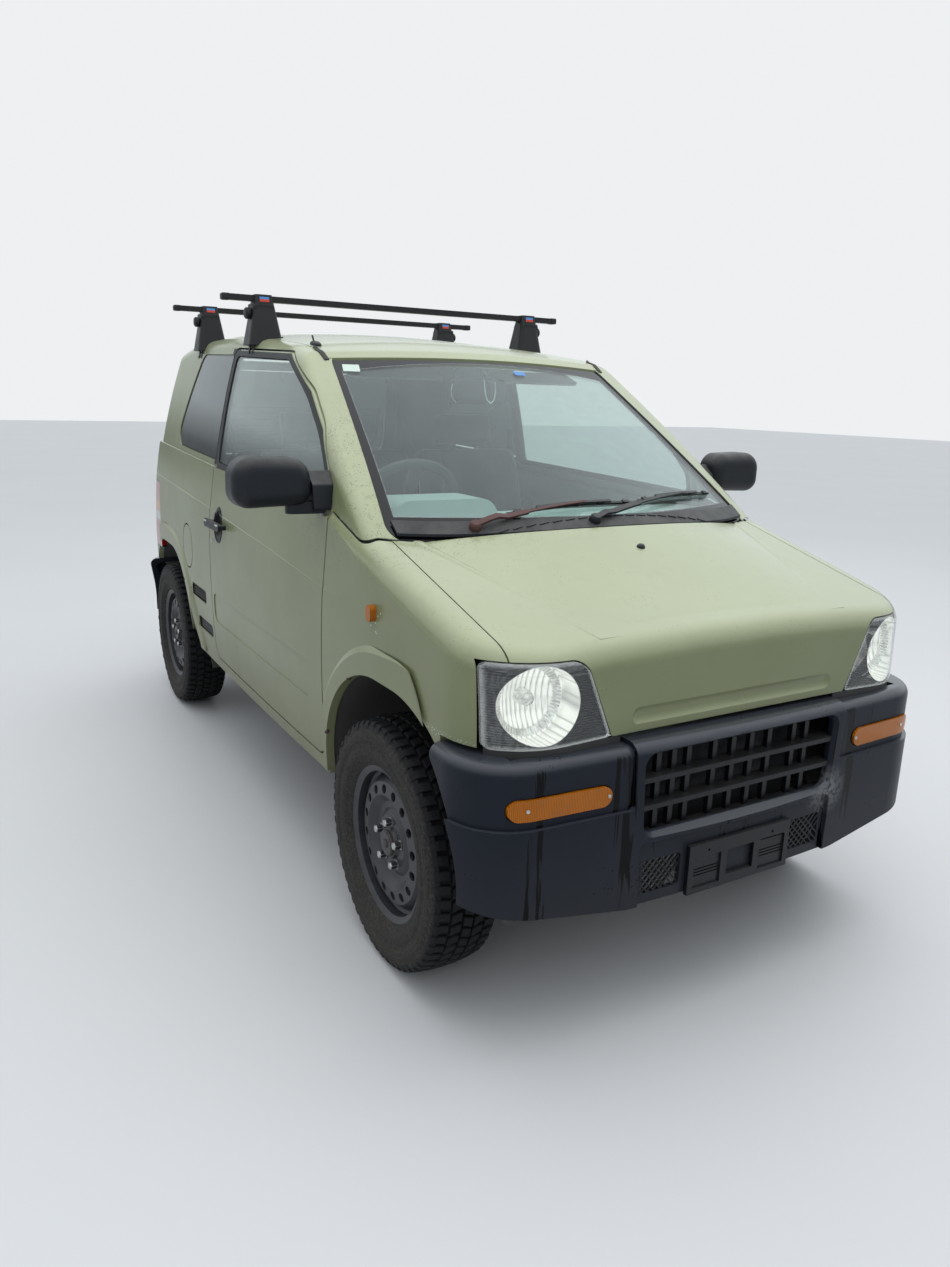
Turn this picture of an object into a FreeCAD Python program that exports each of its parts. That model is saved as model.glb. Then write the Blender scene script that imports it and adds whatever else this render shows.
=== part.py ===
"""Three-door kei car of the tall, high-riding kind, as an assembly of its real panels, glass, seats, axles and wheels.

Frame: X across the car (+X is its left side), Y along it (the nose faces -Y), Z up from the ground. Millimetres.
The origin is on the ground, midway between the bumpers. Pieces of the right side (X below 0) are made first,
and those of the left side are their mirror images.
"""

import FreeCAD
import Part
import math
import os
from FreeCAD import Vector

# Overall sizes
LENGTH = 3395
WIDTH = 1475
WHEELBASE = 2360
FRONT_OVERHANG = 535
TRACK = 1258

# Wheels
TYRE_R = 326
TYRE_WIDTH = 175
TYRE_BEAD_R = 194
RIM_WIDTH = 142
RIM_R = 207
BOLT_CIRCLE = 114.3
NUT_COUNT = 5
VENT_HOLES = 16

# Body skin
FLANK_INSET = 15
NOSE_SKIN_Y = -1640
TAIL_SKIN_Y = 1632
ROOF_Z = 1664
SILL_Z = 380
FLANK_SWEEP_R = 40000
FLANK_RISE_DEG = 2.6
FLANK_ARC = [(-674, 100), (-722, 700), (-682, 1300)]
CABIN_ARC = [(-709, 950), (-648, 1345), (-548, 1700)]
CROWN_AXIS_Z = -3400
NOSE_CORNER_R = 195
NOSE_EDGE_R = 62
TAIL_CORNER_R = 112
BELT_R = 15
ROOF_EDGE_R = 60
PILLAR_R = 40
BELT_FRONT_Z = 1112
BELT_SLOPE = 0.036

# Hood: height at the centre line over y = -1480, slope in degrees, bend radius across
HOOD_SKIN = (978, 14.7, 9000)
HOOD_HALF = 612
HOOD_FRONT_HALF = 374
HOOD_FRONT_Z = 727
LAMP_TOP_Z = 907
LAMP_OUTER_X = 657
# Sections of its raised middle: y, height, bend radius across, half width
HOOD_MIDDLE = [
    (-1600, 944, 13300, 390),
    (-1480, 985, 5169, 427),
    (-1168, 1108, 2079, 525),
    (-1010, 1168, 1867, 574),
]
# Its two pressed ridges (from the rear end to the front one, x and y) and the groove across its front face
RIDGE_LINE = [(560, -1010), (388, -1560)]
RIDGE_R = 26
RIDGE_RISE = 4.5
GROOVE_HALF = 300
GROOVE_Z = 764
GROOVE_R = 42
GROOVE_DEPTH = 5

# Side crease: sections along the car, as y, height of the crease, and how far in the skin is moved at the belt
CREASE = [
    (-1120, 912, -4),
    (-800, 916, 2),
    (-270, 961, 9),
    (380, 1000, 11),
    (1170, 1034, 10),
    (1800, 1058, 8),
]
CREASE_STEP = 1
DOOR_BAND = (-670, 370, 570, 682)
BAND_DEPTH = 3

# Panel walls and the gaps between panels
FENDER_WALL = 18
CABIN_WALL = 24
DOOR_WALL = 84
DOOR_TOP_DROP = 10
SHUT_GAP = 6
SEAM_GAP = 3

# Wheel arches, as distances from the axle
ARCH_TOP = 430
ARCH_FRONT = 412
ARCH_REAR = 366
ARCH_CORNER_R = 335
FLARE_WIDTH = 78
FLARE_RISE = 7

# Glass
GLASS = 5
GLASS_SINK = 4
SCREEN_BASE = (-1150, 1107)
SCREEN_TOP = (-372, 1560)
SCREEN_BASE_R = 1730
SCREEN_TOP_R = 3600

# Doors, hinged at their front edges
DOOR_FRONT_Y = -770
DOOR_REAR_Y = 398
DOOR_BOTTOM_Z = 424
DOOR_CORNER_R = 46
DOOR_INNER_X = 556

# Floor and running gear
FLOOR_Z = 425
REAR_FLOOR_Z = 650
FLOOR_SHEET = 14
ENGINE_LOW = (-250, 404, 262)
ENGINE_HIGH = (230, 930, REAR_FLOOR_Z - FLOOR_SHEET)
LINER_GAP = 5
LINER = 6
STEER_WALL_X = 356
REAR_WALL_X = 462
BALL_JOINT = (-574, 192)
STRUT_TOP = (-496, 746)
PIN_R = 9
PIN_CLEAR = 1.5
FOOT_FROM = 30
STUB_R = 16
STUB_CLEAR = 0.5
HUB_INNER_X = -612

# Steering wheel: centre and how far its axle points up and back
HANDWHEEL = (-335, -492, 1085)
HANDWHEEL_R = 178
HANDWHEEL_TILT_DEG = 32

# Roof rack: bar centre (y, z) and half length
RACK_BARS = [(205, 1746), (925, 1754)]
RACK_HALF = 684
RACK_FOOT_X = 548

# Bumpers
BUMPER_TOP_Z = 716
BUMPER_WALL = 24
BUMPER_CORNER_R = 165
BUMPER_BOW = 10
BUMPER_EDGE_R = 32
BUMPER_STEP = 10
REAR_BUMPER_TOP_Z = 622
REAR_BUMPER_LOW_Z = 350

NOSE_Y = -LENGTH / 2
TAIL_Y = LENGTH / 2
FRONT_AXLE_Y = NOSE_Y + FRONT_OVERHANG
REAR_AXLE_Y = FRONT_AXLE_Y + WHEELBASE
FRONT_BUMPER_END_Y = FRONT_AXLE_Y - ARCH_FRONT + 124
REAR_BUMPER_START_Y = REAR_AXLE_Y + ARCH_FRONT - 124
HALF_TRACK = TRACK / 2
FLANK_X = WIDTH / 2 - FLANK_INSET
FAR = 2600

ORIGIN = Vector(0, 0, 0)
ACROSS = Vector(1, 0, 0)
ALONG = Vector(0, 1, 0)
UP = Vector(0, 0, 1)
PLANES = {
    "yz": lambda u, v: Vector(0, u, v),
    "xz": lambda u, v: Vector(u, 0, v),
    "xy": lambda u, v: Vector(u, v, 0),
}
NORMALS = {"yz": ACROSS, "xz": ALONG, "xy": UP}


def outline(corners, plane):
    """A flat face in a plane through the origin, from corners (u, v, radius) joined by straight runs."""
    place = PLANES[plane]
    points = [place(c[0], c[1]) for c in corners]
    count = len(points)
    ends = []
    arcs = []
    for i, corner in enumerate(corners):
        here = points[i]
        radius = corner[2] if len(corner) > 2 else 0
        if not radius:
            ends.append((here, here))
            arcs.append(None)
            continue
        back = (points[i - 1] - here).normalize()
        ahead = (points[(i + 1) % count] - here).normalize()
        half = back.getAngle(ahead) / 2
        reach = radius / math.tan(half)
        start = here + back * reach
        end = here + ahead * reach
        bisector = (back + ahead).normalize()
        middle = here + bisector * (radius / math.sin(half) - radius)
        ends.append((start, end))
        arcs.append(Part.Arc(start, middle, end).toShape())
    edges = []
    for i in range(count):
        if arcs[i]:
            edges.append(arcs[i])
        start = ends[i][1]
        end = ends[(i + 1) % count][0]
        if start.distanceToPoint(end) > 1e-6:
            edges.append(Part.makeLine(start, end))
    return Part.Face(Part.Wire(edges))


def prism(corners, plane, low, high):
    """An outline pushed along its plane's normal, from low to high."""
    face = outline(corners, plane)
    normal = NORMALS[plane]
    face.translate(normal * low)
    return face.extrude(normal * (high - low))


def box(low, high):
    size = Vector(*high) - Vector(*low)
    return Part.makeBox(size.x, size.y, size.z, Vector(*low))


def cylinder_x(radius, x_from, x_to, y, z):
    return Part.makeCylinder(radius, x_to - x_from, Vector(x_from, y, z), ACROSS)


def rod(radius, start, end):
    run = Vector(*end) - Vector(*start)
    return Part.makeCylinder(radius, run.Length, Vector(*start), run)


def mirrored(shape):
    return shape.mirror(ORIGIN, ACROSS)


def both(shape):
    """The right-hand piece and its mirror image, as solids that don't touch."""
    return Part.makeCompound([shape, mirrored(shape)])


def fuse(*shapes):
    whole = shapes[0].multiFuse(list(shapes[1:]))
    return whole.removeSplitter()


def solid_of(shape):
    """The largest solid of a shape that may be a compound."""
    return max(shape.Solids, key=lambda s: s.Volume)


def crowned(corners):
    """A side-view outline swept across the car round a low lengthwise axis, so that its top is crowned."""
    face = outline(corners, "yz")
    centre = Vector(0, 0, CROWN_AXIS_Z)
    half_angle = 20
    face.rotate(centre, ALONG, -half_angle)
    return face.revolve(centre, ALONG, 2 * half_angle)


def between_flanks(shape, arc, grow):
    """A shape cut to lie between the flanks, whose bulge is an arc swept round a far upright axis."""
    a, b, c = [Vector(x - grow, 0, z) for x, z in arc]
    rest = Part.makePolygon([c, Vector(FAR, 0, c.z), Vector(FAR, 0, a.z), a])
    face = Part.Face(Part.Wire([Part.Arc(a, b, c).toShape()] + rest.Edges))
    centre = Vector(FLANK_SWEEP_R - FLANK_X, 0, 0)
    half_angle = math.degrees(math.asin(2300 / FLANK_SWEEP_R))
    face.rotate(centre, UP, -half_angle)
    right = face.revolve(centre, UP, 2 * half_angle)
    right.rotate(Vector(0, 0, 950), ACROSS, FLANK_RISE_DEG)
    return solid_of(shape.common(right).common(mirrored(right)))


def hood_block(z, slope_deg, bend_r, grow):
    """Everything behind the nose and under the hood's skin, a bent sheet that rises to the rear."""
    block = box((-900, NOSE_SKIN_Y - grow, 100), (900, DOOR_FRONT_Y - SHUT_GAP, 1400))
    slope = math.radians(slope_deg)
    axis = Vector(0, math.cos(slope), math.sin(slope))
    down = Vector(0, math.sin(slope), -math.cos(slope))
    start = Vector(0, -1480, z + grow) + down * bend_r - axis * 1500
    skin = Part.makeCylinder(bend_r, 4000, start, axis)
    skin.rotate(start, axis, 90)
    return solid_of(block.common(skin))


def hood_middle(grow):
    """The hood's middle, which rises out of its skin and is bent more tightly towards the windscreen."""
    sections = []
    for y, z, bend_r, half in HOOD_MIDDLE:
        drop = bend_r - math.sqrt(bend_r ** 2 - half ** 2)
        edge = z + grow - drop
        left = Vector(-half, y, edge)
        right = Vector(half, y, edge)
        arc = Part.Arc(left, Vector(0, y, z + grow), right).toShape()
        rest = Part.makePolygon([right, Vector(half, y, 800), Vector(-half, y, 800), left])
        sections.append(Part.Wire([arc] + rest.Edges))
    return Part.makeLoft(sections, True)


def front_form(grow):
    """The body ahead of the doors: nose, fenders and hood."""
    block = between_flanks(hood_block(*HOOD_SKIN, grow), FLANK_ARC, grow)
    corners = [
        e
        for e in block.Edges
        if abs(e.CenterOfMass.x) > 600 and e.CenterOfMass.y < -1600 and e.BoundBox.ZLength > 200
    ]
    block = block.makeFillet(NOSE_CORNER_R + grow, corners)
    rim = [
        e
        for e in block.Edges
        if e.CenterOfMass.z > 850
        and e.CenterOfMass.y < DOOR_FRONT_Y - 2 * SHUT_GAP
        and (abs(e.CenterOfMass.x) > 500 or e.CenterOfMass.y < -1600)
    ]
    block = block.makeFillet(NOSE_EDGE_R + grow, rim)
    return solid_of(block.fuse(hood_middle(grow)))


def belt_block(grow):
    """The body behind the nose, from the sill to the belt under the windows."""
    g = grow
    start = DOOR_FRONT_Y - SHUT_GAP
    rise = BELT_SLOPE * (TAIL_SKIN_Y - start)
    side = [
        (start, 100),
        (start, BELT_FRONT_Z + g),
        (1527 + g, BELT_FRONT_Z + rise + g),
        (1592 + g, 1010),
        (TAIL_SKIN_Y + 2 + g, 760),
        (TAIL_SKIN_Y + 2 + g, 100),
    ]
    block = between_flanks(prism(side, "yz", -900, 900), FLANK_ARC, grow)
    corners = [
        e
        for e in block.Edges
        if abs(e.CenterOfMass.x) > 600 and e.CenterOfMass.y > 1500 and e.BoundBox.ZLength > 100
    ]
    block = block.makeFillet(TAIL_CORNER_R + grow, corners)
    rim = [
        e
        for e in block.Edges
        if e.CenterOfMass.z > 1100 and e.CenterOfMass.y > start + 10 and abs(e.CenterOfMass.x) > 600
    ]
    return block.makeFillet(max(BELT_R + grow, 3), rim)


def below_screen(grow):
    """Everything behind and under the windscreen's cone, whose bend is tighter at its base than at its top."""
    base = Vector(0, *SCREEN_BASE)
    top = Vector(0, *SCREEN_TOP)
    run = (top - base).normalize()
    out = Vector(0, -run.z, run.y)
    base_axis = base - out * SCREEN_BASE_R
    top_axis = top - out * SCREEN_TOP_R
    axis = (top_axis - base_axis).normalize()
    low = base - run * 500 + out * grow
    high = top + run * 500 + out * grow
    points = [low, high, Vector(0, 1900, high.z), Vector(0, 1900, 1100), Vector(0, 1900, low.z), low]
    face = Part.Face(Part.makePolygon(points))
    face.rotate(base_axis, axis, -50)
    return face.revolve(base_axis, axis, 100)


def cabin_form(grow):
    """The cabin, from the sill to the roof, behind the windscreen."""
    g = grow
    side = [
        (-1300, 300),
        (-1300, 1340 + g),
        (-520, 1535 + g),
        (-200, ROOF_Z - 54 + g, 900),
        (420, ROOF_Z + g, 3200),
        (1080, ROOF_Z - 6 + g, 2200),
        (1378 + g, ROOF_Z - 50 + g),
        (1590 + g, 1010, 900),
        (TAIL_SKIN_Y + g, 760),
        (TAIL_SKIN_Y + g, 300),
    ]
    block = solid_of(crowned(side).common(below_screen(g)))
    block = between_flanks(block, CABIN_ARC, g)
    tail = [
        e
        for e in block.Edges
        if abs(e.CenterOfMass.x) > 500 and e.CenterOfMass.y > 1300 and e.BoundBox.ZLength > 100
    ]
    block = block.makeFillet(TAIL_CORNER_R + g, tail)
    rim = [
        e
        for e in block.Edges
        if e.CenterOfMass.z > 1540
        and e.CenterOfMass.y > -300
        and (abs(e.CenterOfMass.x) > 400 or e.CenterOfMass.y > 1300)
    ]
    block = block.makeFillet(ROOF_EDGE_R + g, rim)
    pillars = [
        e
        for e in block.Edges
        if abs(e.CenterOfMass.x) > 450 and e.CenterOfMass.y < -350 and e.BoundBox.ZLength > 200
    ]
    return solid_of(block.makeFillet(max(PILLAR_R + g, 6), pillars))


def rear_form(grow):
    """The body behind the nose: belt, cabin and tail."""
    return solid_of(belt_block(grow).fuse(cabin_form(grow)))


def flank_x(y, z):
    """The half width of the flank's bulge at a point of the side view."""
    lift = z - 700 - math.tan(math.radians(FLANK_RISE_DEG)) * y
    return -FLANK_ARC[1][0] - 1.22e-4 * lift ** 2 + 0.0067 * lift - y ** 2 / (2 * FLANK_SWEEP_R)


def above_crease():
    """What is taken off the right flank above its crease, where the skin leans in towards the windows."""
    sections = []
    for y, z, inset in CREASE:
        top = BELT_FRONT_Z + BELT_SLOPE * (y - DOOR_FRONT_Y) + 40
        low_x = flank_x(y, z) - (CREASE_STEP if inset > 0 else inset)
        high_x = flank_x(y, top) - inset
        corners = [(-low_x, z), (-high_x, top), (-900, top), (-900, z - 60)]
        sections.append(Part.makePolygon([Vector(u, y, v) for u, v in corners + corners[:1]]))
    return Part.makeLoft(sections, True, True)


# Outlines seen from the right side (y, z, radius)
REAR_ARCH = [
    (REAR_AXLE_Y - 560, 200),
    (REAR_AXLE_Y - 530, 405, 60),
    (REAR_AXLE_Y - 405, 530, 160),
    (REAR_AXLE_Y - 405, TYRE_R + ARCH_TOP, 320),
    (REAR_AXLE_Y + ARCH_FRONT, TYRE_R + ARCH_TOP, ARCH_CORNER_R),
    (REAR_AXLE_Y + ARCH_FRONT, 200),
]
FRONT_ARCH = [
    (FRONT_AXLE_Y - ARCH_FRONT, 200),
    (FRONT_AXLE_Y - ARCH_FRONT, TYRE_R + ARCH_TOP, ARCH_CORNER_R + 20),
    (FRONT_AXLE_Y + ARCH_REAR, TYRE_R + ARCH_TOP, ARCH_CORNER_R),
    (FRONT_AXLE_Y + ARCH_REAR, 200),
]
DOOR_SHUT = [
    (DOOR_FRONT_Y, DOOR_BOTTOM_Z, DOOR_CORNER_R),
    (DOOR_FRONT_Y, 1118, 50),
    (-732, 1203, 50),
    (-607, 1339, 400),
    (-451, 1444, 400),
    (-214, 1556, 70),
    (DOOR_REAR_Y, 1582, 40),
    (DOOR_REAR_Y, DOOR_BOTTOM_Z, DOOR_CORNER_R),
]
DOOR_GLASS = [
    (-705, 1142, 14),
    (-700, 1196, 40),
    (-590, 1318, 400),
    (-440, 1420, 400),
    (-206, 1530, 60),
    (DOOR_REAR_Y - 36, 1554, 24),
    (DOOR_REAR_Y - 36, 1176, 14),
]
SIDE_VENTS = [
    [(498, 606, 20), (498, 660, 12), (742, 657, 24), (742, 606, 12)],
    [(430, 482, 20), (430, 534, 12), (668, 532, 24), (668, 482, 12)],
]
QUARTER_GLASS = [
    (DOOR_REAR_Y + 10, 1182, 12),
    (DOOR_REAR_Y + 10, 1560, 14),
    (862, 1572, 70),
    (1108, 1208, 60),
]


def grown(corners, g):
    """A straight-sided outline grown outward by g, by moving each side along its own normal."""
    count = len(corners)
    area = sum(
        corners[i - 1][0] * corners[i][1] - corners[i][0] * corners[i - 1][1] for i in range(count)
    )
    sign = 1 if area > 0 else -1
    lines = []
    for i in range(count):
        ax, ay = corners[i][:2]
        bx, by = corners[(i + 1) % count][:2]
        length = math.hypot(bx - ax, by - ay)
        nx = sign * (by - ay) / length
        ny = -sign * (bx - ax) / length
        lines.append((nx, ny, nx * ax + ny * ay + g))
    result = []
    for i in range(count):
        nx, ny, nd = lines[i - 1]
        mx, my, md = lines[i]
        det = nx * my - ny * mx
        x = (nd * my - ny * md) / det
        y = (nx * md - nd * mx) / det
        radius = corners[i][2] if len(corners[i]) > 2 else 0
        result.append((x, y, max(radius + g, 1) if radius else 0))
    return result


def side_prism(corners, g=0, x_from=-900, x_to=-300):
    """A side-view outline, grown by g, pushed through the right side of the car."""
    return prism(grown(corners, g) if g else corners, "yz", x_from, x_to)


def symmetric(corners):
    """A front-view outline from its right half, given from the bottom up, and the mirror image of that half."""
    return corners + [(-c[0], *c[1:]) for c in reversed(corners)]


def arch_flare(arch, raised):
    """A faint bulge round a wheel arch: the raised skin, cut off by a slope that runs out into the flank."""
    wide = outline(grown(arch, FLARE_WIDTH), "yz").OuterWire
    narrow = outline(grown(arch, 4), "yz").OuterWire
    wide.translate(Vector(-FLANK_X + 18, 0, 0))
    narrow.translate(Vector(-WIDTH / 2, 0, 0))
    lip = Part.makeLoft([wide, narrow], True, True)
    lip = lip.common(box((-800, -1800, SILL_Z + 8), (-600, 1800, 900))).common(raised)
    return lip.cut(side_prism(arch))


# Front view outlines (x, z, radius)
LAMP = [
    (-(HOOD_FRONT_HALF + 3), HOOD_FRONT_Z, 10),
    (-LAMP_OUTER_X, BUMPER_TOP_Z + 4, 14),
    (-(LAMP_OUTER_X + 4), LAMP_TOP_Z, 18),
    (-452, LAMP_TOP_Z, 52),
]
HOOD_FRONT = [
    (-HOOD_FRONT_HALF, HOOD_FRONT_Z, 6),
    (-452, LAMP_TOP_Z + SEAM_GAP, 50),
    (-HOOD_HALF, LAMP_TOP_Z + SEAM_GAP),
    (-HOOD_HALF, 1400),
]
SCREEN = [
    (-618, 1078, 30),
    (-503, 1548, 40),
]
TAILGATE = [
    (-556, 640, 40),
    (-574, 1040, 300),
    (-520, 1572, 50),
]
TAILGATE_GLASS = [
    (-508, 1130, 50),
    (-466, 1528, 50),
]
REAR_PLATE_PANEL = [
    (1625, 742),
    (1800, 742),
    (1800, 936),
    (1593, 936),
]
REAR_PLATE_HALF = 188
COWL_ARC = (1168, 1014)
COWL_WIDE = 42
COWL_HALF = 598
COWL_RISE = 8
COWL_SHEET = 6
ROOF_HALF = 528
ROOF_ARC = (-382, -334)


def behind_arc(middle_y, side_y, half=HOOD_HALF, back=600, low=400, high=1900):
    """An upright block behind an arc in plan that runs from middle_y at the centre line to side_y at half."""
    sag = side_y - middle_y
    radius = (half ** 2 + sag ** 2) / (2 * abs(sag))
    reach = 900
    depth = radius - math.sqrt(radius ** 2 - reach ** 2)
    edge_y = middle_y + math.copysign(depth, sag)
    left = Vector(reach, edge_y, low)
    right = Vector(-reach, edge_y, low)
    arc = Part.Arc(right, Vector(0, middle_y, low), left).toShape()
    rest = Part.makePolygon([left, Vector(reach, back, low), Vector(-reach, back, low), right])
    return Part.Face(Part.Wire([arc] + rest.Edges)).extrude(UP * (high - low))


def make_forms():
    """The outer and inner skins from which the panels and panes are cut."""
    crease = above_crease()
    shapes = {
        "front": front_form(0),
        "front_in": front_form(-FENDER_WALL),
        "front_out": front_form(SEAM_GAP),
        "rear": rear_form(0),
        "rear_in": rear_form(-CABIN_WALL),
        "pane": rear_form(-GLASS_SINK),
        "pane_in": rear_form(-GLASS_SINK - GLASS),
        "lamp_in": front_form(-GLASS),
        "front_raised": front_form(FLARE_RISE),
        "rear_raised": rear_form(FLARE_RISE),
        "dash_room": rear_form(-CABIN_WALL - 3),
    }
    for name in ("front", "rear"):
        shapes[name] = solid_of(shapes[name].cut(crease).cut(mirrored(crease)))
    return shapes


def on_hood(x, y, above):
    """A point over the hood's skin, by the height and bend of its middle."""
    z, slope_deg, bend_r = HOOD_SKIN
    slope = math.radians(slope_deg)
    across = math.asin(x / bend_r)
    rise = (y + 1480) * math.tan(slope) - bend_r * (1 - math.cos(across)) / math.cos(slope)
    return Vector(x, y, z + rise) + Vector(0, -math.sin(slope), math.cos(slope)) * above


def hood(forms):
    """The hood with two slim ridges on top and a shallow groove across its front face."""
    skin = forms["front"].cut(forms["front_in"])
    area = prism(symmetric(HOOD_FRONT), "xz", -1800, 0)
    panel = skin.common(area)
    rear = on_hood(*RIDGE_LINE[0], RIDGE_RISE - RIDGE_R)
    front = on_hood(*RIDGE_LINE[1], -RIDGE_R - 1)
    ridge = rod(RIDGE_R, rear, front).cut(forms["front_in"])
    panel = panel.fuse([ridge, mirrored(ridge)])
    groove_y = NOSE_SKIN_Y - GROOVE_R + GROOVE_DEPTH
    panel = panel.cut(cylinder_x(GROOVE_R, -GROOVE_HALF, GROOVE_HALF, groove_y, GROOVE_Z))
    for x in (-GROOVE_HALF, GROOVE_HALF):
        panel = panel.cut(Part.makeSphere(GROOVE_R, Vector(x, groove_y, GROOVE_Z)))
    panel = panel.cut(behind_arc(-COWL_ARC[0], -COWL_ARC[1]))
    return solid_of(panel)


def cowl():
    """The black strip over the windscreen's lower edge, behind the hood."""
    middle, side = COWL_ARC
    strip = below_screen(COWL_RISE).cut(below_screen(COWL_RISE - COWL_SHEET))
    strip = strip.common(behind_arc(SHUT_GAP - middle, SHUT_GAP - side))
    strip = strip.cut(behind_arc(SHUT_GAP + COWL_WIDE - middle, SHUT_GAP + COWL_WIDE - side))
    return solid_of(strip.common(box((-COWL_HALF, -1300, 900), (COWL_HALF, -900, 1300))))


def fender(forms):
    skin = forms["front"].cut(forms["front_in"])
    side = [
        (-1800, BUMPER_TOP_Z + SEAM_GAP),
        (FRONT_BUMPER_END_Y + SEAM_GAP, BUMPER_TOP_Z + SEAM_GAP),
        (FRONT_BUMPER_END_Y + SEAM_GAP, SILL_Z),
        (-600, SILL_Z),
        (-600, 1300),
        (-1800, 1300),
    ]
    front = [
        (-900, 200),
        (-(LAMP_OUTER_X + 4), 200),
        (-(LAMP_OUTER_X + 4 + SEAM_GAP), LAMP_TOP_Z + SEAM_GAP),
        (-(HOOD_HALF + SEAM_GAP), LAMP_TOP_Z + SEAM_GAP),
        (-(HOOD_HALF + SEAM_GAP), 1400),
        (-900, 1400),
    ]
    room = side_prism(side).common(prism(front, "xz", -1800, 0)).cut(forms["rear"]).cut(side_prism(FRONT_ARCH))
    flare = arch_flare(FRONT_ARCH, forms["front_raised"]).cut(forms["front_in"])
    flare = flare.common(box((-900, -1700, 100), (0, DOOR_FRONT_Y - SHUT_GAP, 1000)))
    return solid_of(skin.fuse(flare).common(room).removeSplitter())


def oval(half_x, half_z, y_from, y_to, x, z):
    """A bar with fully rounded ends seen from the front, pushed along the car."""
    radius = half_z * 0.995
    corners = [
        (x - half_x, z - half_z, radius),
        (x - half_x, z + half_z, radius),
        (x + half_x, z + half_z, radius),
        (x + half_x, z - half_z, radius),
    ]
    return prism(corners, "xz", y_from, y_to)


def body_side(forms):
    """Sill, pillars, quarter and the frame of the door's opening, as one pressing."""
    flare = arch_flare(REAR_ARCH, forms["rear_raised"])
    panel = forms["rear"].fuse(flare).cut(forms["rear_in"])
    room = box((-900, -1300, SILL_Z), (-(ROOF_HALF + SEAM_GAP), 1800, 1800))
    middle, side = ROOF_ARC
    pillar_top = box((-ROOF_HALF - 2 * SEAM_GAP, -600, 1300), (-440, -300, 1700))
    pillar_top = pillar_top.cut(behind_arc(middle - SEAM_GAP, side - SEAM_GAP, ROOF_HALF, 1900, 1200))
    panel = panel.common(room.fuse(pillar_top))
    bumper = [
        (REAR_BUMPER_START_Y - SEAM_GAP, 100),
        (REAR_BUMPER_START_Y - SEAM_GAP, REAR_BUMPER_TOP_Z + SEAM_GAP),
        (1900, REAR_BUMPER_TOP_Z + SEAM_GAP),
        (1900, 100),
    ]
    cutters = [
        side_prism(DOOR_SHUT, SHUT_GAP, -900, -DOOR_INNER_X),
        side_prism(QUARTER_GLASS, SEAM_GAP),
        side_prism(REAR_ARCH),
        side_prism(bumper),
        prism(grown(symmetric(SCREEN), SEAM_GAP), "xz", -1400, -200),
        prism(grown(symmetric(TAILGATE), SHUT_GAP), "xz", 1200, 1800),
        lamp_prism(TAIL_LAMP, 2),
        forms["front_out"],
    ]
    cutters += [side_prism(vent, 0, -900, -VENT_FLOOR_X) for vent in SIDE_VENTS]
    for cutter in cutters:
        panel = panel.cut(cutter)
    return solid_of(panel.removeSplitter())


VENT_FLOOR_X = 700
FUEL_LID = (790, 800, 165, 175)
TAIL_LAMP = [
    (-596, 700, 16),
    (-596, 1010, 24),
    (-760, 1010),
    (-760, 700),
]


def lamp_prism(corners, g=0):
    return prism(grown(corners, g) if g else corners, "xz", 1400, 1800)


def fuel_hole(g):
    y, z, wide, tall = FUEL_LID
    radius = wide / 2 - 4
    corners = [
        (y - wide / 2, z - tall / 2, radius),
        (y - wide / 2, z + tall / 2, radius),
        (y + wide / 2, z + tall / 2, radius),
        (y + wide / 2, z - tall / 2, radius),
    ]
    return side_prism(corners, g)


def fuel_lid(forms):
    skin = forms["rear"].cut(forms["pane_in"])
    return solid_of(skin.common(fuel_hole(0)))


def roof_panel(forms):
    panel = forms["rear"].cut(forms["rear_in"])
    panel = panel.common(box((-ROOF_HALF, -600, 1500), (ROOF_HALF, 1800, 1800)))
    panel = panel.common(behind_arc(*ROOF_ARC, ROOF_HALF, 1900, 1400))
    panel = panel.cut(box((-900, 1200, 1400), (900, 1800, 1581)))
    return solid_of(panel)


def tailgate(forms):
    panel = forms["rear"].cut(forms["rear_in"])
    panel = panel.common(prism(symmetric(TAILGATE), "xz", 1200, 1800))
    panel = panel.cut(prism(grown(symmetric(TAILGATE_GLASS), SEAM_GAP), "xz", 1200, 1800))
    panel = panel.cut(prism(REAR_PLATE_PANEL, "yz", -REAR_PLATE_HALF, REAR_PLATE_HALF))
    return solid_of(panel)


def pane(forms):
    return forms["pane"].cut(forms["pane_in"])


def windscreen(forms):
    glass = pane(forms).common(prism(symmetric(SCREEN), "xz", -1400, -200))
    middle, side = ROOF_ARC
    glass = glass.cut(behind_arc(middle - SHUT_GAP, side - SHUT_GAP, ROOF_HALF, 1900, 1400))
    return solid_of(glass.common(behind_arc(-COWL_ARC[0] + SHUT_GAP, -COWL_ARC[1] + SHUT_GAP)))


def door(forms):
    """A door as thick as its wall up to the belt, with a slim frame round its glass."""
    room = side_prism(DOOR_SHUT, 0, -900, -DOOR_INNER_X)
    lower = forms["rear"].common(room)
    start = DOOR_FRONT_Y - SHUT_GAP
    top = BELT_FRONT_Z - CABIN_WALL - DOOR_TOP_DROP
    deep = [(start, 200), (start, top), (500, top + BELT_SLOPE * (500 - start)), (500, 200)]
    lower = lower.common(side_prism(deep, 0, -900, -(FLANK_X - DOOR_WALL)))
    frame = forms["rear"].cut(forms["rear_in"]).common(room)
    panel = solid_of(lower).fuse(frame).cut(side_prism(DOOR_GLASS, SEAM_GAP))
    cup = Part.makeSphere(66, Vector(-FLANK_X - 42, *HANDLE))
    band_rear, band_front, band_low, band_high = DOOR_BAND
    band = [
        (band_rear, band_low, 30),
        (band_rear, band_high, 30),
        (band_front, band_high, 30),
        (band_front, band_low, 30),
    ]
    pressed = between_flanks(box((-900, -800, 500), (900, 500, 760)), FLANK_ARC, -BAND_DEPTH)
    band = side_prism(band).cut(pressed)
    return solid_of(panel.cut([cup, band]).removeSplitter())


HANDLE = (276, 956)


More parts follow.
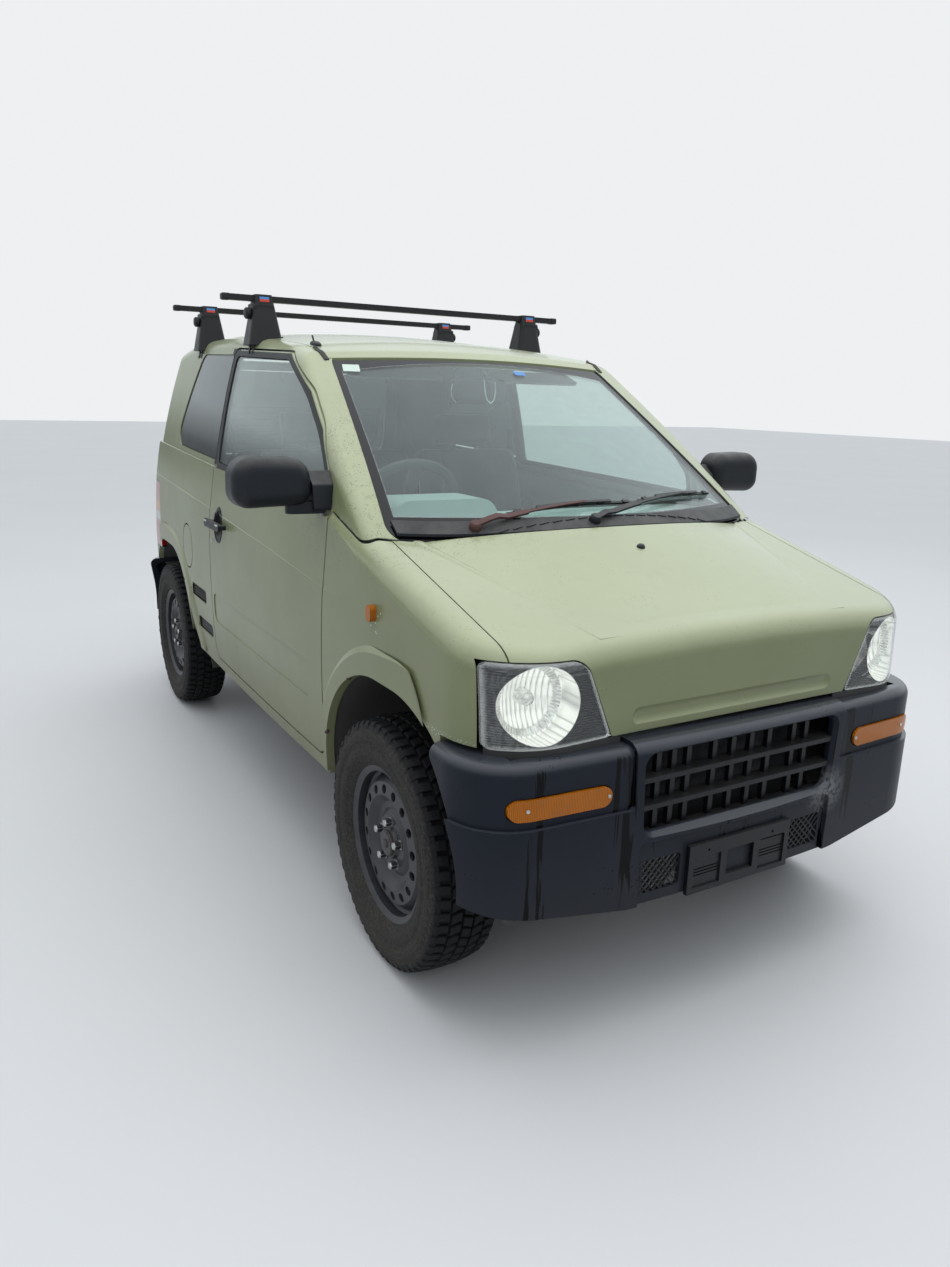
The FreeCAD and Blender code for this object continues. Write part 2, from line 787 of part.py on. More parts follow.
def mirror_and_handle(forms):
    """The mirror on its foot at the door's front corner, and the pull handle across its cup."""
    head = prism(
        [(-938, 1135, 44), (-938, 1272, 56), (-728, 1266, 56), (-722, 1142, 40)], "xz", -768, -680
    )
    face = [e for e in head.Edges if e.CenterOfMass.y < -767]
    head = head.makeFillet(38, face)
    glass_pocket = prism(
        [(-926, 1146, 34), (-926, 1260, 46), (-740, 1255, 46), (-734, 1152, 30)], "xz", -690, -670
    )
    head = head.cut(glass_pocket)
    stalk = prism([(-790, -740, 20), (-790, -700, 20), (-690, -690), (-690, -752)], "xy", 1118, 1150)
    foot = side_prism([(-764, 1128, 6), (-752, 1196, 12), (-700, 1238, 8), (-690, 1128, 6)], 0, -724, -650)
    foot = foot.cut(forms["rear"])
    outside = fuse(head, stalk.cut(forms["rear"]), foot)
    y, z = HANDLE
    bar = [(y - 110, z - 13, 10), (y - 110, z + 13, 10), (y + 90, z + 15, 12), (y + 90, z - 15, 12)]
    post = [(y - 106, z - 9, 6), (y - 106, z + 9, 6), (y - 76, z + 9, 6), (y - 76, z - 9, 6)]
    handle = side_prism(bar, 0, -746, -734)
    front_post = side_prism(post, 0, -740, -690)
    handle = handle.fuse([front_post, front_post.translated(Vector(0, 158, 0))]).cut(forms["rear"])
    return Part.makeCompound([solid_of(outside), solid_of(handle)])


BOWL_CENTRE = (-548, -1652, 815)
BOWL_R = 86
BOWL_DEPTH_R = 118


def headlamp(forms):
    """A lamp's housing with its round bowl, whose wall shows on the inner side because the nose turns away."""
    x, y, z = BOWL_CENTRE
    body = forms["lamp_in"].common(prism(grown(LAMP, -2), "xz", -1800, -1470))
    bowl = Part.makeSphere(BOWL_DEPTH_R, Vector(x, y, z))
    bowl = bowl.common(Part.makeCylinder(BOWL_R, 400, Vector(x, y - 200, z), ALONG))
    return solid_of(body.cut(bowl))


def headlamp_lens(forms):
    return solid_of(forms["front"].cut(forms["lamp_in"]).common(prism(LAMP, "xz", -1800, -1400)))


def tail_lamp(forms):
    skin = forms["rear"].cut(forms["rear_in"])
    lamp = skin.common(lamp_prism(TAIL_LAMP)).cut(prism(grown(symmetric(TAILGATE), SHUT_GAP), "xz", 1200, 1800))
    return solid_of(lamp)


def bumper_block(end_y, top_z, low_z, corner_r, grow):
    """A bumper's outer form in plan, with its top edge rounded."""
    g = grow
    sign = math.copysign(1, end_y)
    wide = WIDTH / 2 - 2 + g
    corners = [
        (-wide, 0),
        (-wide + 2, end_y - sign * 34 + sign * g, corner_r + g),
        (0, end_y + sign * (BUMPER_BOW + g), 6000),
        (wide - 2, end_y - sign * 34 + sign * g, corner_r + g),
        (wide, 0),
    ]
    block = prism(corners, "xy", low_z - g, top_z + g)
    rim = [
        e
        for e in block.Edges
        if e.CenterOfMass.z > top_z + g - 1 and abs(e.CenterOfMass.y) > 100
    ]
    return block.makeFillet(BUMPER_EDGE_R + g / 2, rim)


SIGNAL = (-518, 607, 125, 24)
SIGNAL_PROUD = 5
BUMPER_FRONT = [
    (-336, 318, 200),
    (-680, 368, 80),
    (-780, 396),
    (-780, 900),
]
GRILLE = [
    (-298, 494, 26),
    (-308, 684, 26),
]
MOUTH_BEVEL = 14
CORNER_ZONE = [
    (-332, 562, 14),
    (-342, 900),
    (-900, 900),
    (-900, 574),
    (-700, 562, 60),
]
LOW_ZONE = [
    (-300, 100),
    (-314, 474, 16),
]
LAMP_SHELF = [
    (-396, -1560),
    (-396, -1650, 12),
    (-560, -1646, 40),
    (-655, -1584, 30),
    (-655, -1500),
]
SHELF_DEPTH = 8
LOW_MESH = [
    (-290, 342, 8),
    (-290, 424, 8),
    (-182, 424, 8),
    (-182, 342, 8),
]
PLATE = (166, 313, 438)
PLATE_HOLES = 210
PLATE_HOLE_R = 3.5


def front_block(grow):
    return bumper_block(NOSE_Y, BUMPER_TOP_Z, 280, BUMPER_CORNER_R, grow)


def front_bumper(forms):
    """A hollow bumper: its ends and its lower middle are set back, so that the grille's frame stands proud."""
    inner = front_block(-BUMPER_WALL)
    shell = front_block(0).cut(inner.fuse(inner.translated(Vector(0, 0, -60))))
    set_back = prism(symmetric(LOW_ZONE), "xz", -1800, -1500)
    corner = prism(CORNER_ZONE, "xz", -1800, 0)
    set_back = set_back.fuse([corner, mirrored(corner)]).cut(front_block(-BUMPER_STEP))
    shell = shell.cut(set_back)
    shell = shell.common(prism(symmetric(BUMPER_FRONT), "xz", -1800, 0))
    shell = shell.cut(box((-900, FRONT_BUMPER_END_Y, 200), (900, 400, 900)))
    shell = shell.cut(side_prism(grown(FRONT_ARCH, 2), 0, -900, 900))
    shell = shell.cut(box((-620, -1616, 600), (620, 400, 900)))
    mouth = symmetric(GRILLE)
    shell = shell.cut(prism(mouth, "xz", -1800, -1500))
    wide = outline(grown(mouth, MOUTH_BEVEL), "xz").OuterWire
    narrow = outline(mouth, "xz").OuterWire
    wide.translate(Vector(0, NOSE_Y - 2, 0))
    narrow.translate(Vector(0, NOSE_Y + BUMPER_WALL - 4, 0))
    shell = shell.cut(Part.makeLoft([wide, narrow], True, True))
    shell = shell.cut(box((-PLATE[0] - 3, -1800, PLATE[1] - 3), (PLATE[0] + 3, NOSE_Y + 12, PLATE[2] + 3)))
    shelf = prism(LAMP_SHELF, "xy", BUMPER_TOP_Z - SHELF_DEPTH, BUMPER_TOP_Z + 20)
    mesh = prism(LOW_MESH, "xz", -1800, -1500)
    x, z, half, tall = SIGNAL
    signal = oval(half + 2, tall + 2, -1800, NOSE_Y + 110, x, z)
    for cutter in (shelf, mesh, signal):
        shell = shell.cut([cutter, mirrored(cutter)])
    return solid_of(shell)


# Rows: height, front and rear face of the slats; uprights behind them
SLATS = [
    (556, -1680, -1640),
    (622, -1680, -1640),
]
UPRIGHTS = [-250, -205, -160, -80, -20, 40, 100, 185, 230]


def grille(bumper):
    """Slats across the bumper's mouth, the lower meshes and the empty plate holder."""
    pieces = [box((-312, front, z - 6), (312, rear, z + 6)) for z, front, rear in SLATS]
    pieces += [box((x - 7, -1660, 486), (x + 7, -1646, 690)) for x in UPRIGHTS]
    pieces.append(box((-325, -1672, 476), (325, -1646, 490)))
    pieces.append(box((-325, -1672, 686), (325, -1646, 700)))
    frame = fuse(*pieces).cut(bumper)
    plate = box((-PLATE[0], NOSE_Y + 0.5, PLATE[1]), (PLATE[0], NOSE_Y + 11.5, PLATE[2]))
    plate = plate.cut(box((-44, -1800, 338), (44, -1600, 404)))
    plate = plate.cut(box((-150, -1800, 326), (-64, NOSE_Y + 5, 404)).fuse(box((64, -1800, 326), (150, NOSE_Y + 5, 404))))
    for x in (-PLATE_HOLES / 2, PLATE_HOLES / 2):
        plate = plate.cut(Part.makeCylinder(PLATE_HOLE_R, 300, Vector(x, -1800, 418), ALONG))
    solids = [solid_of(frame), plate]
    for side in (-1, 1):
        bars = []
        for i in range(-2, 5):
            for lean in (-45, 45):
                bar = box((-1.6, -1680, -120), (1.6, -1674, 120))
                bar.rotate(ORIGIN, ALONG, lean)
                bar.translate(Vector(side * 236 - 38 + 19 * i, 0, 383))
                bars.append(bar)
        window = box((side * 236 - 62, -1800, 334), (side * 236 + 62, -1600, 432))
        solids.append(solid_of(fuse(*bars).common(window).cut(bumper)))
    return Part.makeCompound(solids)


def front_signal():
    x, z, half, tall = SIGNAL
    lens = front_block(SIGNAL_PROUD - BUMPER_STEP).common(oval(half, tall, -1800, NOSE_Y + 110, x, z))
    return solid_of(lens.cut(front_block(-BUMPER_WALL)))


def side_marker(forms):
    corners = [(-1115, 896, 14), (-1115, 938, 14), (-1085, 938, 14), (-1085, 896, 14)]
    return solid_of(side_prism(corners, 0, -716, -600).cut(forms["front"]))


def rear_bumper():
    outer = bumper_block(TAIL_Y, REAR_BUMPER_TOP_Z, REAR_BUMPER_LOW_Z, BUMPER_CORNER_R, 0)
    inner = bumper_block(TAIL_Y, REAR_BUMPER_TOP_Z, REAR_BUMPER_LOW_Z, BUMPER_CORNER_R, -BUMPER_WALL)
    shell = outer.cut(inner.fuse(inner.translated(Vector(0, 0, -60))))
    shell = shell.cut(box((-900, -400, 200), (900, REAR_BUMPER_START_Y, 900)))
    shell = shell.cut(side_prism(grown(REAR_ARCH, 2), 0, -900, 900))
    return solid_of(shell)


def wheel_liner(arch, wall_x, outside):
    """The inside of a wheel arch: a bent sheet with an upright wall at its inner end."""
    outer = side_prism(grown(arch, LINER_GAP + LINER), 0, -715, -wall_x)
    inner = side_prism(grown(arch, LINER_GAP), 0, -900, -wall_x - LINER)
    liner = outer.cut(inner).common(box((-900, -1700, 300), (0, 1700, 900)))
    return liner.common(outside)


def floor_pan(forms):
    """Floor, tunnel, bulkhead, rails and wheel liners, welded into one pan."""
    z = FLOOR_Z
    t = FLOOR_SHEET
    pieces = [
        box((-640, -800, z), (640, 400, z + t)),
        box((-640, 400 - t, z), (640, 400, REAR_FLOOR_Z)),
        box((-640, 400 - t, REAR_FLOOR_Z - t), (640, 1560, REAR_FLOOR_Z)),
        box((-560, 1560, 420), (560, 1574, REAR_FLOOR_Z - t)),
        box((-640, -800, z), (640, -800 + t, 1000)),
        box((-110, -800, z), (110, 400, z + 90)),
    ]
    pan = fuse(*pieces)
    tunnel = box((-96, -900, 300), (96, 386, z + 76))
    pan = pan.cut(tunnel)
    details = []
    for side in (-1, 1):
        details.append(box((side * 325 - 30, -1600, 380), (side * 325 + 30, -786, 452)))
        details.append(box((side * 325 - 30, 380, 400), (side * 325 + 30, 1574, 462)))
        details.append(box((side * 655 - 30, -700, 386), (side * 655 + 30, 640, z + 6)))
    pan = pan.fuse(details)
    for arch, wall_x, outside in (
        (FRONT_ARCH, STEER_WALL_X, forms["front_in"]),
        (REAR_ARCH, REAR_WALL_X, forms["rear_in"]),
    ):
        room = side_prism(grown(arch, LINER_GAP), 0, -900, -wall_x - LINER)
        pan = pan.cut(room).cut(mirrored(room))
        liner = wheel_liner(arch, wall_x, outside)
        pan = pan.fuse([liner, mirrored(liner)])
    for y in (FRONT_AXLE_Y, REAR_AXLE_Y):
        pan = pan.cut(box((-600, y - 120, 100), (600, y + 140, 420)))
    door_room = side_prism(DOOR_SHUT, SHUT_GAP, -900, -(FLANK_X - DOOR_WALL - SHUT_GAP))
    pan = pan.cut(door_room).cut(mirrored(door_room))
    return pan


def rim():
    """A pressed steel wheel about the X axis, its outer face towards -X, with a ring of round vent holes."""
    half = RIM_WIDTH / 2
    barrel = [
        (RIM_R, half),
        (RIM_R, half - 6),
        (TYRE_BEAD_R - 1, half - 14),
        (TYRE_BEAD_R - 2, half - 34),
        (170, half - 50),
        (170, -10),
        (TYRE_BEAD_R - 2, -half + 30),
        (TYRE_BEAD_R - 1, -half + 14),
        (RIM_R, -half + 6),
        (RIM_R, -half),
        (RIM_R - 6, -half),
        (TYRE_BEAD_R - 8, -half + 8),
        (TYRE_BEAD_R - 8, -half + 32),
        (164, -8),
        (164, half - 46),
        (TYRE_BEAD_R - 8, half - 32),
        (TYRE_BEAD_R - 8, half - 8),
        (RIM_R - 6, half),
    ]
    disc = [
        (176, 30),
        (176, 36),
        (158, 56),
        (124, 60),
        (104, 40),
        (88, 38),
        (72, 50),
        (44, 50),
        (38, 58),
        (32, 58),
        (32, 42),
        (72, 44),
        (86, 30),
        (106, 32),
        (124, 52),
        (154, 49),
        (168, 30),
    ]
    spin = [Part.Face(Part.makePolygon([Vector(-x, r, 0) for r, x in p + p[:1]])) for p in (barrel, disc)]
    shapes = [face.revolve(ORIGIN, ACROSS, 360) for face in spin]
    wheel = shapes[0].fuse(shapes[1])
    holes = []
    for i in range(VENT_HOLES):
        hole = Part.makeCylinder(12, 60, Vector(-80, 140, 0), ACROSS)
        hole.rotate(ORIGIN, ACROSS, 360 / VENT_HOLES * (i + 0.5))
        holes.append(hole)
    wheel = wheel.cut(holes)
    nuts = []
    for i in range(NUT_COUNT):
        nut = Part.makeCylinder(10.5, 24, Vector(-68, BOLT_CIRCLE / 2, 0), ACROSS)
        nut.rotate(ORIGIN, ACROSS, 360 / NUT_COUNT * i + 90)
        nuts.append(nut)
    hub = Part.makeCylinder(31, 66, Vector(-66, 0, 0), ACROSS)
    flange = Part.makeCylinder(70, 12, Vector(-44, 0, 0), ACROSS)
    disc_plate = Part.makeCylinder(120, 14, Vector(-14, 0, 0), ACROSS)
    hat = Part.makeCylinder(74, 32, Vector(-34, 0, 0), ACROSS)
    wheel = wheel.fuse(nuts + [hub, flange, hat, disc_plate])
    bore = Part.makeCylinder(STUB_R + STUB_CLEAR, 50, Vector(-46, 0, 0), ACROSS)
    return solid_of(wheel.cut(bore).removeSplitter())


def tyre():
    """A tyre about the X axis: bulged sidewalls, rounded shoulders and a slightly crowned tread."""
    half = TYRE_WIDTH / 2
    bead = RIM_WIDTH / 2 - 7
    edge = Vector(-half + 16, TYRE_R - 7, 0)
    right = [
        Part.makeLine(Vector(-bead + 10, TYRE_BEAD_R, 0), Vector(-bead, TYRE_BEAD_R, 0)),
        Part.Arc(Vector(-bead, TYRE_BEAD_R, 0), Vector(-half + 3, 226, 0), Vector(-half, 262, 0)).toShape(),
        Part.Arc(Vector(-half, 262, 0), Vector(-half + 3, 300, 0), edge).toShape(),
    ]
    left = [e.mirror(ORIGIN, ACROSS) for e in right]
    tread = Part.Arc(edge, Vector(0, TYRE_R, 0), Vector(-edge.x, edge.y, 0)).toShape()
    inside = [
        Part.makeLine(Vector(bead - 10, TYRE_BEAD_R, 0), Vector(bead - 4, 240, 0)),
        Part.makeLine(Vector(bead - 4, 240, 0), Vector(bead - 12, 304, 0)),
        Part.makeLine(Vector(bead - 12, 304, 0), Vector(-bead + 12, 304, 0)),
        Part.makeLine(Vector(-bead + 12, 304, 0), Vector(-bead + 4, 240, 0)),
        Part.makeLine(Vector(-bead + 4, 240, 0), Vector(-bead + 10, TYRE_BEAD_R, 0)),
    ]
    outside = [e.toNurbs().Edges[0] for e in right + [tread] + left]
    wire = Part.Wire(Part.__sortEdges__(outside + inside))
    return Part.Face(wire).revolve(ORIGIN, ACROSS, 360)


def knuckle():
    """Hub carrier with its stub axle, ball joint, steering arm and the strut that turns with it."""
    y = FRONT_AXLE_Y
    z = TYRE_R
    carrier = Part.makeCylinder(52, 46, Vector(HUB_INNER_X + 6, y, z), ACROSS)
    stub = Part.makeCylinder(STUB_R, 44, Vector(HUB_INNER_X - 30, y, z), ACROSS)
    joint = Vector(BALL_JOINT[0], y, BALL_JOINT[1])
    top = Vector(STRUT_TOP[0], y, STRUT_TOP[1])
    along = (top - joint).normalize()
    cup = Part.makeSphere(36, joint + along * ((z - joint.z) / along.z))
    lower = rod(22, joint + along * FOOT_FROM, joint + along * 110)
    pin = rod(PIN_R, joint + along * 6, joint + along * 60)
    upper = prism(
        [(-600, z + 20), (-566, z + 20), (-524, 430), (-500, 470), (-528, 470), (-560, 430)], "xz", y - 22, y + 22
    )
    strut = rod(25, (-521, y, 400), (STRUT_TOP[0] - 6, y, 650))
    shaft = rod(11, (STRUT_TOP[0] - 6, y, 640), (STRUT_TOP[0], y, STRUT_TOP[1]))
    turns = [(0, 666)]
    for i in range(5):
        turns += [(40, 668 + 15 * i), (50, 675.5 + 15 * i)]
    turns += [(40, 743), (0, 743)]
    spring = Part.Face(Part.makePolygon([Vector(r, 0, z) for r, z in turns + turns[:1]])).revolve(ORIGIN, UP, 360)
    spring.translate(Vector(STRUT_TOP[0] - 3, y, 0))
    seat = Part.makeCylinder(52, 6, Vector(STRUT_TOP[0] - 5, y, 660), UP)
    cap = Part.makeCylinder(50, 6, Vector(STRUT_TOP[0], y, STRUT_TOP[1] - 6), UP)
    arm = box((-580, y, z - 66), (-556, y + 116, z - 46))
    return fuse(carrier, stub, cup, lower, pin, upper, strut, shaft, seat, cap, spring, arm)


def front_axle():
    """Crossmember, lower arms, steering rack, final drive, half shafts and the shaft that comes from the engine."""
    y = FRONT_AXLE_Y
    cross = box((-310, y - 70, 300), (310, y + 60, 380))
    rack = Part.makeCylinder(20, 570, Vector(-285, y + 112, 402), ACROSS)
    mounts = [box((side * 250 - 20, y + 50, 340), (side * 250 + 20, y + 120, 400)) for side in (-1, 1)]
    pieces = [cross, rack] + mounts
    for side in (-1, 1):
        corners = [(300, -46), (578, -25, 24), (600, 0, 24), (578, 25, 24), (300, 110), (300, 60)]
        arm = prism([(side * c[0], y + c[1], *c[2:]) for c in corners], "xy", 196, 214)
        low = (side * -BALL_JOINT[0], y, BALL_JOINT[1])
        high = (side * -STRUT_TOP[0], y, STRUT_TOP[1])
        arm = arm.cut(rod(PIN_R + PIN_CLEAR, low, high))
        post = box((side * 290 - 24, y - 50, 196), (side * 290 + 24, y + 58, 310))
        half_shaft = Part.makeCylinder(13, 212, Vector(min(side * 300, side * 512), y, TYRE_R), ACROSS)
        pieces += [arm, post, half_shaft]
    case = box((-110, y - 60, 290), (110, y + 70, 400))
    case = case.makeFillet(24, [e for e in case.Edges if e.BoundBox.YLength > 100])
    nose = rod(34, (0, y + 60, 345), (0, y + 150, 345))
    shaft = rod(24, (0, y + 140, 345), (0, ENGINE_LOW[1], 390))
    return fuse(case, nose, shaft, *pieces)


def engine_block():
    block = box(ENGINE_LOW, ENGINE_HIGH)
    return block.makeChamfer(24, [e for e in block.Edges if e.BoundBox.YLength > 400])


def rear_axle():
    y = REAR_AXLE_Y
    z = TYRE_R
    beam = rod(34, (-560, y + 90, z), (560, y + 90, z))
    pieces = [beam]
    case = box((-90, y - 80, z - 70), (90, y + 130, z + 90))
    pieces.append(case.makeFillet(30, [e for e in case.Edges if e.BoundBox.YLength > 150]))
    for side in (-1, 1):
        carrier = Part.makeCylinder(50, 46, Vector(min(side * 606, side * 560), y, z), ACROSS)
        stub = Part.makeCylinder(STUB_R, 60, Vector(min(side * 642, side * 582), y, z), ACROSS)
        web = box((min(side * 590, side * 540), y - 20, z - 36), (max(side * 590, side * 540), y + 110, z + 36))
        link = rod(17, (side * 500, y + 60, z), (side * 500, y - 500, 360))
        shaft = Part.makeCylinder(13, 480, Vector(min(side * 90, side * 570), y, z), ACROSS)
        damper = rod(22, (side * 420, y + 100, z + 10), (side * 400, y + 110, 632))
        pieces += [carrier, stub, web, link, shaft, damper]
    return fuse(*pieces)


def fuel_tank():
    tank = box((-560, -420, 250), (-130, 200, FLOOR_Z))
    return tank.makeFillet(28, [e for e in tank.Edges if e.CenterOfMass.z < 300])


def exhaust():
    pipe = rod(22, (180, 930, 300), (180, 1060, 258))
    elbow = rod(22, (180, 1060, 258), (180, 1420, 262))
    muffler = Part.makeCylinder(78, 480, Vector(-230, 1440, 318), ACROSS)
    tail = rod(20, (190, 1440, 318), (190, 1640, 300))
    hangers = [box((x - 6, 1410, 380), (x + 6, 1430, REAR_FLOOR_Z - FLOOR_SHEET)) for x in (-150, 110)]
    return fuse(pipe, elbow, muffler, tail, *hangers)


def radiator():
    core = box((-250, -1612, 452), (250, -1580, 690))
    shroud = box((-270, -1580, 452), (270, -1560, 700))
    return fuse(core, shroud)


def rack():
    """Two square roof bars on four feet that are strapped down to the roof's edges."""
    pieces = []
    for y, z in RACK_BARS:
        pieces.append(box((-RACK_HALF, y - 15, z - 10), (RACK_HALF, y + 15, z + 10)))
        for side in (-1, 1):
            x = side * RACK_FOOT_X
            low = outline([(x - 62, y - 56, 24), (x - 62, y + 56, 24), (x + 62, y + 56, 24), (x + 62, y - 56, 24)], "xy").OuterWire
            high = outline([(x - 30, y - 26, 10), (x - 30, y + 26, 10), (x + 30, y + 26, 10), (x + 30, y - 26, 10)], "xy").OuterWire
            low.translate(UP * 1590)
            high.translate(UP * (z + 13))
            pieces.append(Part.makeLoft([low, high], True, True))
    return pieces


def dashboard(forms):
    side = [
        (-1100, 1030),
        (-1100, 1062, 10),
        (-880, 1098, 60),
        (-650, 1092, 50),
        (-590, 1020, 60),
        (-610, 820, 30),
        (-700, 640),
        (-784, 640),
        (-784, 1030),
    ]
    half = FLANK_X - DOOR_WALL - SHUT_GAP - 4
    board = prism(side, "yz", -half, half).common(forms["dash_room"])
    hump = prism([(-520, 1060), (-500, 1150, 60), (-180, 1150, 60), (-160, 1060)], "xz", -800, -640)
    return solid_of(board.fuse(hump).removeSplitter())


def steering_wheel():
    grip = Part.Ellipse(ORIGIN, 15, 13).toShape()
    grip.rotate(ORIGIN, ACROSS, 90)
    grip.translate(Vector(HANDWHEEL_R, 0, 0))
    ring = Part.Face(Part.Wire(grip)).revolve(ORIGIN, UP, 360)
    hub = Part.makeCylinder(62, 46, Vector(0, 0, -52), UP)
    shaft = Part.makeCylinder(20, 66, Vector(0, 0, -116), UP)
    spokes = []
    for angle in (-90, 20, 160):
        spoke = box((30, -20, -26), (HANDWHEEL_R, 20, -8))
        spoke.rotate(Vector(30, 0, -17), ALONG, -6)
        spoke.rotate(ORIGIN, UP, angle)
        spokes.append(spoke)
    wheel = fuse(ring, hub, shaft, *spokes)
    wheel.rotate(ORIGIN, ACROSS, -(90 - HANDWHEEL_TILT_DEG))
    wheel.translate(Vector(*HANDWHEEL))
    return wheel


def front_seat():
    x = -330
    cushion = prism([(-330, 640, 20), (-330, 770, 60), (150, 742, 40), (170, 620, 30)], "yz", x - 240, x + 240)
    back = prism([(60, 700, 40), (250, 1236, 34), (330, 1216, 34), (200, 690, 40)], "yz", x - 232, x + 232)
    post = prism([(270, 1180), (312, 1290), (328, 1284), (286, 1176)], "yz", x - 50, x + 50)
    head = prism([(262, 1248, 30), (290, 1372, 34), (372, 1352, 34), (350, 1236, 30)], "yz", x - 130, x + 130)
    rails = box((x - 200, -260, FLOOR_Z + FLOOR_SHEET), (x + 200, 100, 650))
    return fuse(cushion, back, post, head, rails)


def rear_seat():
    cushion = prism([(560, REAR_FLOOR_Z, 0), (560, 800, 50), (960, 780, 30), (960, REAR_FLOOR_Z, 0)], "yz", -440, 440)
    back = prism([(900, 740, 30), (1030, 1190, 34), (1110, 1180, 34), (1020, 720, 30)], "yz", -440, 440)
    return fuse(cushion, back)


def part_list():
    forms = make_forms()
    nodes = {}
    side = body_side(forms)
    bumper = front_bumper(forms)
    tail_bumper = rear_bumper()
    pan = floor_pan(forms).cut(side).cut(mirrored(side)).cut(bumper).cut(tail_bumper)
    nodes["floor_pan"] = solid_of(pan)
    nodes["body_side_right"] = side.cut(fuel_hole(SHUT_GAP))
    nodes["body_side_left"] = mirrored(side)
    nodes["roof_panel"] = roof_panel(forms)
    nodes["fenders"] = both(fender(forms))
    nodes["hood"] = hood(forms)
    nodes["cowl_panel"] = cowl()
    nodes["windscreen"] = windscreen(forms)
    nodes["quarter_glass"] = both(solid_of(pane(forms).common(side_prism(QUARTER_GLASS))))
    shell = door(forms)
    nodes["door_right"] = shell
    nodes["door_left"] = mirrored(shell)
    glass = solid_of(pane(forms).common(side_prism(DOOR_GLASS)))
    nodes["door_glass_right"] = glass
    nodes["door_glass_left"] = mirrored(glass)
    trim = mirror_and_handle(forms)
    nodes["mirror_right"] = trim
    nodes["mirror_left"] = mirrored(trim)
    nodes["tailgate"] = tailgate(forms)
    nodes["tailgate_glass"] = solid_of(pane(forms).common(prism(symmetric(TAILGATE_GLASS), "xz", 1200, 1800)))
    nodes["fuel_lid"] = fuel_lid(forms)
    nodes["front_bumper"] = bumper
    nodes["grille"] = grille(bumper)
    nodes["rear_bumper"] = tail_bumper
    nodes["headlamps"] = both(headlamp(forms))
    nodes["headlamp_lenses"] = both(headlamp_lens(forms))
    signal = front_signal()
    marker = side_marker(forms)
    nodes["amber_lamps"] = Part.makeCompound([signal, mirrored(signal), marker, mirrored(marker)])
    nodes["tail_lamps"] = both(tail_lamp(forms))
    feet = rack()
    nodes["roof_rack"] = fuse(*feet).cut(forms["rear"])
    nodes["dashboard"] = dashboard(forms)
    nodes["steering_wheel"] = steering_wheel()
    seat = front_seat()
    nodes["seats"] = Part.makeCompound([seat, mirrored(seat), rear_seat()])
    engine = engine_block()
    nodes["engine_block"] = engine
    nodes["fuel_tank"] = fuel_tank()
    nodes["exhaust"] = exhaust().cut(engine)
    nodes["radiator"] = radiator()
    nodes["front_axle"] = front_axle().cut(engine)
    nodes["rear_axle"] = rear_axle()
    carrier = knuckle()
    nodes["knuckle_right"] = carrier
    nodes["knuckle_left"] = mirrored(carrier)
    steel = rim()
    rubber = solid_of(tyre().cut(steel))
    for name, shape in (("rim", steel), ("tyre", rubber)):
        for row, y in (("front", FRONT_AXLE_Y), ("rear", REAR_AXLE_Y)):
            right = shape.translated(Vector(-HALF_TRACK, y, TYRE_R))
            nodes[name + "_" + row + "_right"] = right
            nodes[name + "_" + row + "_left"] = mirrored(right)
    return nodes


if __name__ == "__main__":
    os.makedirs("parts", exist_ok=True)
    for name, shape in part_list().items():
        shape.exportStep("parts/" + name + ".step")
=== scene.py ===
"""A small tall-roofed kei car with a roof rack, in satin sage paint with a dark bumper.

The solid pieces come from the frame. This script gives them their finishes and adds the rubber, glass
edges, tread, lamps, wipers, cabin and small fittings.
"""

import math

import bmesh
import bpy
from mathutils import Matrix, Vector
from mathutils.bvhtree import BVHTree


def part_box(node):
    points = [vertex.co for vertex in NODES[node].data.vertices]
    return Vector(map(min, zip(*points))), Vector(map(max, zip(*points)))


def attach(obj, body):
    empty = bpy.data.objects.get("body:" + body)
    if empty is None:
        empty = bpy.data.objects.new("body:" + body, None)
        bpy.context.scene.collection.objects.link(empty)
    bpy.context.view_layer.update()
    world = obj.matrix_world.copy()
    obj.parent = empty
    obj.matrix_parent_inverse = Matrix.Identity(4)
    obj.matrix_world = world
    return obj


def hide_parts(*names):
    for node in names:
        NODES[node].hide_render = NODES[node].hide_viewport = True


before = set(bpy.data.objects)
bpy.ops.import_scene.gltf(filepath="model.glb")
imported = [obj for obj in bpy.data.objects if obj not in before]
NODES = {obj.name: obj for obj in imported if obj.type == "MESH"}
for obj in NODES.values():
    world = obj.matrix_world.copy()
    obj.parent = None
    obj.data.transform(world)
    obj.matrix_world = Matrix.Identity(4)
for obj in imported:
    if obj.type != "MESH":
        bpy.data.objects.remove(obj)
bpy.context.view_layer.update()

# Axle lines and wheels, read from the frame
TYRE_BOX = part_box("tyre_front_right")
FRONT_AXLE_Y = (TYRE_BOX[0].y + TYRE_BOX[1].y) / 2
REAR_TYRE_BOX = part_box("tyre_rear_right")
REAR_AXLE_Y = (REAR_TYRE_BOX[0].y + REAR_TYRE_BOX[1].y) / 2
TYRE_R = (TYRE_BOX[1].z - TYRE_BOX[0].z) / 2
TYRE_MID_X = (TYRE_BOX[0].x + TYRE_BOX[1].x) / 2
RIM_LIP_R = 0.207
SIDES = {"right": -1, "left": 1}
UP = Vector((0, 0, 1))


# Outlines seen from the side (y, z) and from the front (x, z)
DOOR_WINDOW = [
    (-0.705, 1.142), (-0.7, 1.196), (-0.59, 1.318), (-0.44, 1.42),
    (-0.206, 1.53), (0.362, 1.554), (0.362, 1.176),
]
LAMP_FACE = [(0.377, 0.727), (0.452, 0.907), (0.661, 0.907), (0.657, 0.72)]
